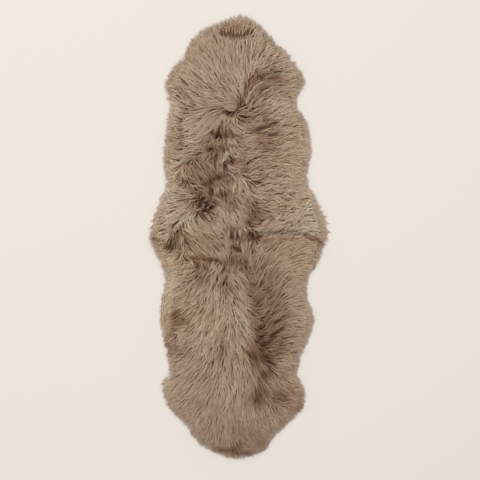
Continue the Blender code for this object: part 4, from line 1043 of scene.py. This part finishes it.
class Tree:
    """A node tree, filled by calls that each add one node and hand back its value."""

    def __init__(self, tree):
        self.tree = tree
        self.inputs = {}

    def add(self, kind, *values, out=0, named=None, **settings):
        node = self.tree.nodes.new(kind)
        for key, value in settings.items():
            setattr(node, key, value)
        sockets = [s for s in node.inputs if s.enabled]
        for socket, value in zip(sockets, values):
            self.fill(socket, value)
        for name, value in (named or {}).items():
            self.fill(next(s for s in sockets if s.name == name), value)
        outputs = [s for s in node.outputs if s.enabled]
        return Field(self, outputs[out])

    def outputs_of(self, field):
        """The other values of the node that a value comes from."""
        return [Field(self, s) for s in field.socket.node.outputs if s.enabled]

    def fill(self, socket, value):
        if value is None:
            return
        if isinstance(value, Field):
            self.tree.links.new(value.socket, socket)
        else:
            socket.default_value = value

    def maths(self, operation, a, b=None):
        vector = any(isinstance(v, Field) and v.arrow for v in (a, b))
        kind = "ShaderNodeVectorMath" if vector else "ShaderNodeMath"
        if vector:
            a, b = ((v,) * 3 if isinstance(v, (int, float)) else v for v in (a, b))
        return self.add(kind, a, b, operation=operation)

    def arrow(self, x=0.0, y=0.0, z=0.0):
        return self.add("ShaderNodeCombineXYZ", x, y, z)

    def parts(self, a):
        return self.outputs_of(self.add("ShaderNodeSeparateXYZ", a))

    def random(self, low, high, key=None, seed=0):
        return self.add("FunctionNodeRandomValue", low, high, key, seed, data_type="FLOAT")

    def compare(self, operation, a, b, near=None):
        kind = "FunctionNodeCompare"
        return self.add(kind, a, b, near, data_type="FLOAT", operation=operation)

    def scatter(self, surface, gap, density, seed, where=None):
        """Points spread over a surface, none nearer to the next than the gap."""
        kind = "GeometryNodeDistributePointsOnFaces"
        values = (surface, where, gap, density, None, seed)
        return self.add(kind, *values, distribute_method="POISSON")

    def read(self, name, kind="FLOAT"):
        return self.add("GeometryNodeInputNamedAttribute", name, data_type=kind)

    def store(self, geometry, name, value, kind="FLOAT", domain="POINT"):
        values = (geometry, None, name, value)
        node = "GeometryNodeStoreNamedAttribute"
        return self.add(node, *values, data_type=kind, domain=domain)


class Field:
    """A value in a node tree, which adds and scales as a number or an arrow does."""

    def __init__(self, tree, socket):
        self.tree = tree
        self.socket = socket
        self.arrow = socket.type == "VECTOR"

    def __add__(self, other):
        return self.tree.maths("ADD", self, other)

    def __radd__(self, other):
        return self.tree.maths("ADD", other, self)

    def __sub__(self, other):
        return self.tree.maths("SUBTRACT", self, other)

    def __rsub__(self, other):
        return self.tree.maths("SUBTRACT", other, self)

    def __mul__(self, other):
        return self.tree.maths("MULTIPLY", self, other)

    def __rmul__(self, other):
        return self.tree.maths("MULTIPLY", other, self)

    def __truediv__(self, other):
        return self.tree.maths("DIVIDE", self, other)

    def __pow__(self, other):
        return self.tree.maths("POWER", self, other)


def wool_tree():
    """Geometry Nodes that plant strands on the field, comb them down and clump their tips."""
    group = bpy.data.node_groups.new("combed_wool", "GeometryNodeTree")
    group.interface.new_socket("Geometry", in_out="INPUT", socket_type="NodeSocketGeometry")
    sizes = {
        "Zone": ("NodeSocketInt", 0),
        "Root Gap": ("NodeSocketFloat", 0.007),
        "Length": ("NodeSocketFloat", 0.07),
        "Width": ("NodeSocketFloat", 0.005),
        "Points": ("NodeSocketInt", 6),
        "Heading Scatter": ("NodeSocketFloat", 8.0),
        "Clump Gap": ("NodeSocketFloat", 0.015),
        "Band Gap": ("NodeSocketFloat", 0.030),
        "Clump Pull": ("NodeSocketFloat", 0.6),
        "Clump Scatter": ("NodeSocketFloat", 10.0),
        "Crimp": ("NodeSocketFloat", 0.0022),
        "Crimps": ("NodeSocketFloat", 1.6),
        "Loft": ("NodeSocketFloat", 0.006),
        "Root Depth": ("NodeSocketFloat", 0.5),
        "Least Room": ("NodeSocketFloat", 0.005),
        "Most Room": ("NodeSocketFloat", 1.0),
        "Overhang": ("NodeSocketFloat", 0.006),
        "Shortfall": ("NodeSocketFloat", 0.0),
        "Interleave": ("NodeSocketFloat", 0.003),
        "Curl": ("NodeSocketFloat", 0.004),
        "Seed": ("NodeSocketInt", 1),
        "Wool": ("NodeSocketMaterial", None),
    }
    for name, (kind, value) in sizes.items():
        socket = group.interface.new_socket(name, in_out="INPUT", socket_type=kind)
        if value is not None:
            socket.default_value = value
    group.interface.new_socket("Geometry", in_out="OUTPUT", socket_type="NodeSocketGeometry")
    tree = Tree(group)
    source = group.nodes.new("NodeGroupInput")
    given = {s.name: Field(tree, s) for s in source.outputs if s.name}
    field = given["Geometry"]
    seed = given["Seed"]

    # Middles of clumps and bands, the same for every zone, and the roots of one zone
    middles = tree.scatter(field, given["Clump Gap"], CLUMP_DENSITY, CLUMP_SEED)
    band_middles = tree.scatter(field, given["Band Gap"], BAND_DENSITY, BAND_SEED)
    grows = tree.compare("EQUAL", tree.read("zone"), given["Zone"], 0.3)
    roomy = tree.compare("GREATER_THAN", tree.read("room"), given["Least Room"])
    narrow = tree.compare("LESS_THAN", tree.read("room"), given["Most Room"])
    for limit in (roomy, narrow):
        grows = tree.add("FunctionNodeBooleanMath", grows, limit, operation="AND")
    roots = tree.scatter(field, given["Root Gap"], ROOT_DENSITY, seed, grows)
    place = tree.add("GeometryNodeInputPosition")
    clump = tree.add("GeometryNodeSampleNearest", middles, place, domain="POINT")
    middle = tree.add(
        "GeometryNodeSampleIndex",
        middles,
        place,
        clump,
        data_type="FLOAT_VECTOR",
        domain="POINT",
    )
    band = tree.add("GeometryNodeSampleNearest", band_middles, place, domain="POINT")
    roots = tree.store(roots, "drift", tree.random(-1.0, 1.0, band, 31))
    roots = tree.store(roots, "root", place, "FLOAT_VECTOR")
    roots = tree.store(roots, "to_middle", middle - place, "FLOAT_VECTOR")
    roots = tree.store(roots, "clump", clump * 1.0)

    # Heading, length and shade of each strand
    key = tree.read("clump")
    tangle = tree.read("tangle")
    scatter = given["Heading Scatter"] + tangle * TANGLE_SCATTER
    own_turn = tree.random(-1.0, 1.0, None, seed) * scatter
    clump_turn = tree.random(-1.0, 1.0, key, 5) * given["Clump Scatter"]
    knot_turn = tree.random(-1.0, 1.0, key, 6) * tangle * TANGLE_TURN
    turn = (own_turn + clump_turn + knot_turn) * (math.pi / 180)
    for name in ("comb", "sweep"):
        turned = tree.add(
            "ShaderNodeVectorRotate",
            tree.read(name, "FLOAT_VECTOR"),
            (0.0, 0.0, 0.0),
            (0.0, 0.0, 1.0),
            turn,
            rotation_type="AXIS_ANGLE",
        )
        roots = tree.store(roots, name, turned, "FLOAT_VECTOR")
    calm = tree.read("calm")
    share = tree.random(0.78, 1.12, None, 8) * tree.random(0.80, 1.15, key, 9)
    reach = given["Length"] * share * (1.0 - tangle * TANGLE_SHORTER)
    overhang = tree.random(-0.8, 0.6, None, 18) + tree.random(-0.6, 0.6, key, 19)
    overhang = overhang * given["Overhang"]
    reach = tree.maths("MINIMUM", reach, tree.read("room") + overhang - given["Shortfall"])
    reach = tree.maths("MAXIMUM", reach, SHORTEST)
    roots = tree.store(roots, "reach", reach)
    phase = tree.random(0.0, 6.28, key, 12) + tree.random(-0.8, 0.8, None, 13)
    roots = tree.store(roots, "phase", phase)
    loft = tree.random(-0.6, 0.8, key, 14) + tree.random(-0.4, 0.4, None, 15)
    roots = tree.store(roots, "loft", loft * (1.0 - calm * 0.85))
    roots = tree.store(roots, "rough", 1.0 - calm)
    layer = tree.random(0.0, 1.0, None, 22)
    roots = tree.store(roots, "layer", (layer - 0.5) * (1.0 - calm * 0.4))
    # Half of each strand's shade is random tone by clump; the other half is painted light and shade,
    # paler for strands that lie higher by their layer and darker for lower ones
    shade = tree.random(0.0, 1.0, key, 21) * 0.5 + layer * 0.5
    roots = tree.store(roots, "shade", shade)
    roots = tree.store(roots, "roll", tree.random(-0.9, 0.9, None, 23) * (1.0 - calm * 0.8))

    # One curve for each root
    line = tree.add("GeometryNodeCurvePrimitiveLine", (0.0, 0.0, 0.0), (0.01, 0.0, 0.0))
    line = tree.add("GeometryNodeResampleCurve", line, None, given["Points"])
    strands = tree.add("GeometryNodeInstanceOnPoints", roots, None, line)
    strands = tree.add("GeometryNodeRealizeInstances", strands)
    t = tree.add("GeometryNodeSplineParameter")
    comb = tree.read("comb", "FLOAT_VECTOR")
    sweep = tree.read("sweep", "FLOAT_VECTOR")
    reach = tree.read("reach")
    half_square = t * t * 0.5
    ground = comb * ((t - half_square) * reach) + sweep * (half_square * reach)
    eased = t * t * (3.0 - t * 2.0)
    to_middle = tree.read("to_middle", "FLOAT_VECTOR") * (1.0, 1.0, 0.0)
    rough = tree.read("rough")
    ground = ground + to_middle * (eased * given["Clump Pull"] * (0.35 + rough * 0.65))
    side = tree.add("ShaderNodeVectorMath", (0.0, 0.0, 1.0), comb, operation="CROSS_PRODUCT")
    wave = tree.maths("SINE", t * given["Crimps"] * 6.283 + tree.read("phase"))
    sway = given["Crimp"] * (0.6 + rough * 0.6) + tree.read("tangle") * given["Curl"]
    ground = ground + side * (wave * sway * tree.maths("SQRT", t))
    path = tree.read("root", "FLOAT_VECTOR") + ground
    path_x, path_y, _ = tree.parts(path)

    # Height: from the underwool up to the wool's top, where the strand has got to
    above = tree.arrow(path_x, path_y, 0.5)
    met = tree.add(
        "GeometryNodeRaycast",
        field,
        tree.read("cover", "FLOAT_VECTOR"),
        above,
        (0.0, 0.0, -1.0),
        1.0,
        data_type="FLOAT_VECTOR",
    )
    cover = next(f for f in tree.outputs_of(met) if f.socket.name == "Attribute")
    top, shadow, rim = tree.parts(cover)
    rise = 1.0 - (1.0 - t) ** 3.0
    depth = given["Root Depth"]
    level = top * (depth + rise * (1.0 - depth)) + tree.read("loft") * given["Loft"] * t
    level = level + tree.read("layer") * given["Interleave"] * rise * 2.0 - t**4.0 * 0.002
    body = tree.add("ShaderNodeMath", t * 2.6, 1.0, operation="MINIMUM") * 0.45 + 0.55
    taper = (1.0 - t**2.6) * 0.88 + 0.12
    radius = given["Width"] * (0.56 - rough * 0.06) * body * taper
    level = tree.maths("MAXIMUM", level, radius * 0.7 + 0.0003)
    strands = tree.add(
        "GeometryNodeSetPosition", strands, None, tree.arrow(path_x, path_y, level)
    )
    strands = tree.store(strands, "along", t)
    # Painted shade of the patches and partings, where each point of the strand lies
    strands = tree.store(strands, "shadow", shadow)
    strands = tree.store(strands, "rim", rim)
    strands = tree.add("GeometryNodeSetCurveNormal", strands, mode="Z_UP")
    strands = tree.add("GeometryNodeSetCurveTilt", strands, None, tree.read("roll"))

    # A flattened three-sided section, with its place round the strand kept
    section = tree.add("GeometryNodeCurvePrimitiveCircle", 3, named={"Radius": 1.0}, mode="RADIUS")
    section = tree.store(section, "around", tree.add("GeometryNodeSplineParameter"))
    section = tree.add("GeometryNodeTransform", section, named={"Scale": (1.0, 0.5, 1.0)})
    wool = tree.add("GeometryNodeCurveToMesh", strands, section, radius, True)
    wool = tree.add("GeometryNodeSetShadeSmooth", wool)
    wool = tree.add("GeometryNodeRealizeInstances", wool)
    wool = tree.add("GeometryNodeSetMaterial", wool, None, given["Wool"])
    sink = group.nodes.new("NodeGroupOutput")
    group.links.new(wool.socket, sink.inputs[0])
    return group


def grown(name, field, group, values):
    """The plain mesh that a tree makes of the field, with only what the wool's material reads."""
    holder = field.copy()
    bpy.context.scene.collection.objects.link(holder)
    modifier = holder.modifiers.new("wool", "NODES")
    modifier.node_group = group
    for item in group.interface.items_tree:
        if item.item_type == "SOCKET" and item.in_out == "INPUT" and item.name in values:
            modifier[item.identifier] = values[item.name]
    evaluated = holder.evaluated_get(bpy.context.evaluated_depsgraph_get())
    mesh = bpy.data.meshes.new_from_object(evaluated)
    bpy.data.objects.remove(holder)
    mesh.name = name
    for attribute in [a.name for a in mesh.attributes]:
        if attribute in PLANTING_NAMES:
            mesh.attributes.remove(mesh.attributes[attribute])
    return new_object(name, mesh)


def rooted_on(side, rows):
    """The locks of one pelt, which is the one that their roots are on."""
    return [row for row in rows if side * (row[1] - SEAM_LOW) > 0]


def lock_lines(row, lift, chance):
    """The strands of one lock: a leaf that is widest near its root and pointed at its tip."""
    root_x, root_y, tip_x, tip_y, width, bend, shade = row
    root, tip = np.array([root_x, root_y], float), np.array([tip_x, tip_y], float)
    way = (tip - root) / np.linalg.norm(tip - root)
    left = np.array([-way[1], way[0]])
    t = np.linspace(0, 1, LOCK_POINTS)
    belly = np.sin(math.pi * (0.12 + 0.88 * t) ** 0.75)
    for place in np.linspace(-1, 1, LOCK_STRANDS):
        own = place + chance.uniform(-0.12, 0.12)
        end = 1 - 0.2 * abs(own) - chance.uniform(0, 0.1)
        along = t * end
        aside = own * width / 2 * belly + bend * np.sin(math.pi * along)
        plan = root + np.outer(along * np.linalg.norm(tip - root), way) + np.outer(aside, left)
        over = READ_TOPS(plan)[:, 0]
        crown = lift * (0.35 + np.sin(math.pi * t) * (1 - 0.6 * own**2)) - 3.0 * (1 - t) ** 3
        yield np.column_stack([plan, over + crown]), shade + chance.uniform(-0.08, 0.08)


def lock_wool(name, rows, lift, rim):
    """Listed locks, each strand a tapering three-sided body."""
    chance = np.random.default_rng(LOCK_SEED)
    points, faces, looks = [], [], {"along": [], "around": [], "shade": []}
    for row in rows:
        for line, shade in lock_lines(row, lift, chance):
            start = len(points)
            count = len(line)
            way = np.gradient(line, axis=0)
            way /= np.linalg.norm(way, axis=1)[:, None]
            side = np.cross([0, 0, 1], way)
            side /= np.linalg.norm(side, axis=1)[:, None]
            up = np.cross(way, side)
            t = np.linspace(0, 1, count)
            radius = LOCK_STRAND / 2 * np.minimum(1, 0.5 + 2 * t) * (1 - 0.9 * t**2.4)
            for corner, turn in enumerate((math.pi / 2, math.pi * 7 / 6, math.pi * 11 / 6)):
                offset = side * math.cos(turn) + up * math.sin(turn) * 0.6
                points += list(line + offset * radius[:, None])
                looks["along"] += list(t * 0.6 + 0.4)
                looks["around"] += [corner / 3] * count
                looks["shade"] += [shade] * count
            for corner in range(3):
                a, b = start + corner * count, start + (corner + 1) % 3 * count
                faces += [(a + k + 1, a + k, b + k, b + k + 1) for k in range(count - 1)]
            faces.append((start, start + count, start + 2 * count))
            faces.append((start + 3 * count - 1, start + 2 * count - 1, start + count - 1))
    obj = new_mesh(name, points, faces)
    for look, values in looks.items():
        set_field(obj.data, look, values)
    # Locks take none of the patches' painted shade; tufts take the rim's paler tips, partly painted
    # light
    for look, value in (("shadow", 0), ("rim", rim), ("calm", rim * TUFT_CALM)):
        set_field(obj.data, look, np.full(len(points), value))
    obj.data.shade_smooth()
    return obj


def wool_looks(plan, rim_distance):
    """Painted shade, tangle and calm of the wool at each point, with the partings' painted shade and
    the rim's calm.
    """
    shade, tangle, calm = patch_looks(plan)
    calm = np.maximum(calm, RIM_CALM * np.exp(-((rim_distance / CALM_RIM) ** 2)))
    return shade + PARTING_SHADE * parting_shade(plan), tangle, calm


def slab(name, side, inset, step, inner, tops, low):
    """One closed body between two levels, with one pelt's outline."""
    loop = pelt_loop(side, inset, step)
    plan, faces = filled(loop, inner(loop))
    heights = tops(plan)
    count, edge = len(plan), len(loop)
    points = np.vstack(
        [np.column_stack([plan, heights]), np.column_stack([plan, np.full(count, low)])]
    )
    order = edge_order(plan, loop)
    walls = [
        (count + order[k], count + order[(k + 1) % edge], order[(k + 1) % edge], order[k])
        for k in range(edge)
    ]
    obj = new_mesh(name, points, [*faces, *(faces[:, ::-1] + count), *walls])
    obj.data.shade_smooth()
    obj.data.set_sharp_from_angle(angle=math.radians(60))
    return obj


def edge_order(plan, loop):
    """Which of the plan's points each point of the loop became."""
    return [int(np.argmin(np.linalg.norm(plan - p, axis=1))) for p in loop]


def underwool_tops(plan):
    """Felted wool under the strands: lower than they are, and thin over the hide's edge."""
    rim_distance = distance_to(plan, RIM)
    calm = wool_looks(plan, rim_distance)[2]
    tops = wool_tops(plan, rim_distance) * (UNDERWOOL_SHARE + CALM_SHARE * calm)
    edge = np.clip((rim_distance - UNDERWOOL_INSET) / RIM_ROLL, 0, 1)
    return UNDERWOOL_EDGE + (np.maximum(tops, UNDERWOOL_EDGE) - UNDERWOOL_EDGE) * edge


def linear(red, green, blue):
    """A colour given as a screen shows it, from 0 to 255, as light."""
    shown = np.array([red, green, blue]) / 255
    light = np.where(shown <= 0.04045, shown / 12.92, ((shown + 0.055) / 1.055) ** 2.4)
    return (*[float(v) for v in light], 1.0)


def new_material(name):
    material = bpy.data.materials.new(name)
    material.use_nodes = True
    tree = Tree(material.node_tree)
    shader = material.node_tree.nodes["Principled BSDF"]
    return material, tree, shader


def ramp(tree, value, stops):
    """A colour read from a row of (place, colour) stops."""
    node = tree.tree.nodes.new("ShaderNodeValToRGB")
    band = node.color_ramp
    while len(band.elements) < len(stops):
        band.elements.new(0.5)
    for element, (place, colour) in zip(band.elements, stops):
        element.position = place
        element.color = linear(*colour)
    tree.fill(node.inputs[0], value)
    return Field(tree, node.outputs["Color"])


def noise(tree, where, scale, detail=2.0, rough=0.5):
    return tree.add(
        "ShaderNodeTexNoise",
        where,
        named={"Scale": scale, "Detail": detail, "Roughness": rough},
    )


def surface_field(tree, name):
    """A value kept on the surface."""
    node = tree.tree.nodes.new("ShaderNodeAttribute")
    node.attribute_name = name
    return Field(tree, node.outputs["Fac"])


def bumped(tree, shader, height, strength, distance):
    """Gives a finish its fine relief."""
    normal = tree.add(
        "ShaderNodeBump", named={"Strength": strength, "Distance": distance, "Height": height}
    )
    tree.fill(shader.inputs["Normal"], normal)


def wool_material():
    """Strands dark at the root and pale at the tip, streaked along their length, darkened by painted
    shade from the patches and partings, and with painted light and shade by each strand's height.
    """
    material, tree, shader = new_material("combed_wool")
    along, around, shade, shadow, rim, calm, warmth, drift = (
        surface_field(tree, name) for name in WOOL_LOOKS
    )
    contrast = 1.0 - calm * CALM_CONTRAST
    streaks = noise(tree, tree.arrow(around * 9.0, along * 5.0, shade * 60.0), 1.0, 3.0, 0.6)
    # shadow is painted shade from the patches and partings; half of shade is painted light and shade by
    # height
    light = (
        BASE_LIGHT
        + ((along**0.6 - 0.7) * TIP_LIGHT + (shade - 0.5) * SHADE_LIGHT) * contrast
        - shadow * SHADOW_DEPTH
        + (streaks - 0.5) * STREAK_LIGHT * contrast
        + drift * DRIFT_LIGHT
    )
    colour = ramp(tree, tree.add("ShaderNodeClamp", light), WOOL_COLOURS)
    # Paler tips at the rim: partly the wool's own straw colour, partly painted light against the shade
    # there
    straw_and_rim_light = rim * along
    hue = tree.arrow(
        warmth * WARM_RED + straw_and_rim_light * STRAW_AND_RIM_LIGHT + 1.0,
        straw_and_rim_light * STRAW_AND_RIM_LIGHT + 1.0,
        straw_and_rim_light * STRAW_AND_RIM_LIGHT_BLUE + 1.0 - warmth * WARM_BLUE,
    )
    tree.fill(shader.inputs["Base Color"], tree.maths("MULTIPLY", hue, colour))
    tree.fill(shader.inputs["Roughness"], 0.62 + streaks * 0.3)
    shader.inputs["Specular IOR Level"].default_value = 0.18
    shader.inputs["Sheen Weight"].default_value = 0.06
    shader.inputs["Sheen Roughness"].default_value = 0.5
    shader.inputs["Subsurface Weight"].default_value = 0.8
    shader.inputs["Subsurface Radius"].default_value = (1.0, 0.85, 0.75)
    shader.inputs["Subsurface Scale"].default_value = 0.006
    bumped(tree, shader, streaks, 0.5, 0.0006)
    return material


def underwool_material():
    """Felted wool, dark where it shows between the strands, paler where the wool lies calm and darker
    under the painted shade of the patches and partings.
    """
    material, tree, shader = new_material("underwool")
    where = tree.add("ShaderNodeTexCoord", out=3)
    felt = noise(tree, where, 260.0, 4.0, 0.65)
    drift = noise(tree, where, 18.0, 2.0, 0.5)
    # paleness carries the painted shade of the patches and partings into the underwool
    light = felt * 0.6 + drift * 0.4 + surface_field(tree, "paleness")
    colour = ramp(tree, light, UNDERWOOL_COLOURS)
    tree.fill(shader.inputs["Base Color"], colour)
    shader.inputs["Roughness"].default_value = 0.95
    shader.inputs["Specular IOR Level"].default_value = 0.1
    bumped(tree, shader, felt, 0.8, 0.004)
    return material


def suede_material():
    """The flesh side: matt suede with a fine nap, soft blotches and a few scuffs."""
    material, tree, shader = new_material("suede")
    where = tree.add("ShaderNodeTexCoord", out=3)
    nap = noise(tree, where, 900.0, 3.0, 0.7)
    blotch = noise(tree, where, 9.0, 4.0, 0.55)
    scuff = noise(tree, where * (60.0, 11.0, 30.0), 1.0, 3.0, 0.6)
    colour = ramp(tree, blotch * 0.55 + scuff * 0.25 + nap * 0.2, SUEDE_COLOURS)
    tree.fill(shader.inputs["Base Color"], colour)
    tree.fill(shader.inputs["Roughness"], 0.8 + nap * 0.2)
    shader.inputs["Specular IOR Level"].default_value = 0.2
    shader.inputs["Sheen Weight"].default_value = 0.25
    bumped(tree, shader, nap * 0.7 + scuff * 0.3, 0.4, 0.0008)
    return material


def paint(obj, material):
    """Gives a piece one finish in place of any that it has."""
    obj.data.materials.clear()
    obj.data.materials.append(material)


def floor_and_light():
    """A plain pale floor, a soft sky and one wide soft lamp from the upper left."""
    bpy.ops.mesh.primitive_plane_add(size=FLOOR_SIZE, location=(0, 0, FLOOR_LEVEL))
    floor = bpy.context.object
    floor.name = "floor"
    material, _, shader = new_material("pale_floor")
    shader.inputs["Base Color"].default_value = linear(*FLOOR_SHOWN)
    shader.inputs["Roughness"].default_value = 1.0
    shader.inputs["Specular IOR Level"].default_value = 0.0
    paint(floor, material)
    world = bpy.data.worlds.new("studio")
    world.use_nodes = True
    sky = world.node_tree.nodes["Background"]
    sky.inputs["Color"].default_value = (1.0, 1.0, 1.0, 1.0)
    sky.inputs["Strength"].default_value = SKY_STRENGTH
    bpy.context.scene.world = world
    lamp = bpy.data.lights.new("wide_lamp", "AREA")
    lamp.shape = "SQUARE"
    lamp.size = LAMP_SIZE
    lamp.energy = LAMP_POWER
    holder = new_object("wide_lamp", lamp)
    holder.location = LAMP_PLACE
    holder.rotation_euler = (-Vector(LAMP_PLACE)).to_track_quat("-Z", "Y").to_euler()


def camera_above():
    """The photo's view: straight down, with the head end at the top."""
    camera = bpy.data.cameras.new("camera")
    camera.sensor_width = SENSOR_WIDTH
    camera.lens = SENSOR_WIDTH * (CAMERA_HEIGHT - VIEW_LEVEL) / VIEW_WIDTH
    holder = new_object("camera", camera)
    holder.location = (*VIEW_MIDDLE, CAMERA_HEIGHT)
    bpy.context.scene.camera = holder
    bpy.context.scene.view_settings.view_transform = "Standard"


def planted_wool(wool):
    """The long, fine and rim wool of every zone, by pelt."""
    field = wool_field()
    group = wool_tree()
    grown_on = {name: [] for name in PELTS}
    for zone, zone_name in enumerate(ZONES):
        for kind, *row in WOOL:
            values = {"Zone": zone, "Wool": wool}
            for (name, unit), value in zip(WOOL_INPUTS, row):
                values[name] = value * unit if unit else value
            piece = grown(f"{kind}_wool_{zone_name}", field, group, values)
            grown_on["upper" if zone < 2 else "lower"].append(piece)
    bpy.data.objects.remove(field)
    return grown_on


def dressed(name, side, wool_pieces, suede, felt, wool):
    """One pelt: its hide, the underwool, and all the wool that goes with the hide."""
    locks = lock_wool(f"pale_locks_{name}", rooted_on(side, LOCKS), LOCK_LIFT, 0)
    tuft_rows = [(*row, 0, TUFT_SHADE) for row in rooted_on(side, TUFTS)]
    tufts = lock_wool(f"rim_tufts_{name}", tuft_rows, 0, 1)
    hide = slab(
        f"hide_{name}",
        side,
        HIDE_INSET,
        UNDERWOOL_STEP,
        lambda loop: [],
        lambda plan: np.full(len(plan), HIDE_THICK),
        0.0,
    )
    underwool = slab(
        f"underwool_{name}",
        side,
        UNDERWOOL_INSET,
        UNDERWOOL_STEP,
        lambda loop: spread_points(loop, UNDERWOOL_STEP),
        underwool_tops,
        HIDE_THICK + UNDERWOOL_LIFT,
    )
    for piece, material in ((locks, wool), (tufts, wool), (hide, suede), (underwool, felt)):
        paint(piece, material)
    plan = np.array([v.co[:2] for v in underwool.data.vertices]) / MM - RIM_SHIFT
    shade, _, calm = wool_looks(plan, distance_to(plan, RIM))
    # the underwool takes the patches' and partings' painted shade, and is paler where calm
    set_field(underwool.data, "paleness", UNDERWOOL_PALENESS * (calm - shade))
    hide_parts(f"pelt_{name}")
    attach(hide, "root")
    with_hide = [underwool, *wool_pieces, locks, tufts]
    for piece in with_hide:
        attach(piece, "root")
    loop = pelt_loop(side, HIDE_INSET, UNDERWOOL_STEP)


def main():
    suede, felt, wool = suede_material(), underwool_material(), wool_material()
    camera_above()
    floor_and_light()
    grown_on = planted_wool(wool)
    for name, side in PELTS.items():
        dressed(name, side, grown_on[name], suede, felt, wool)


main()
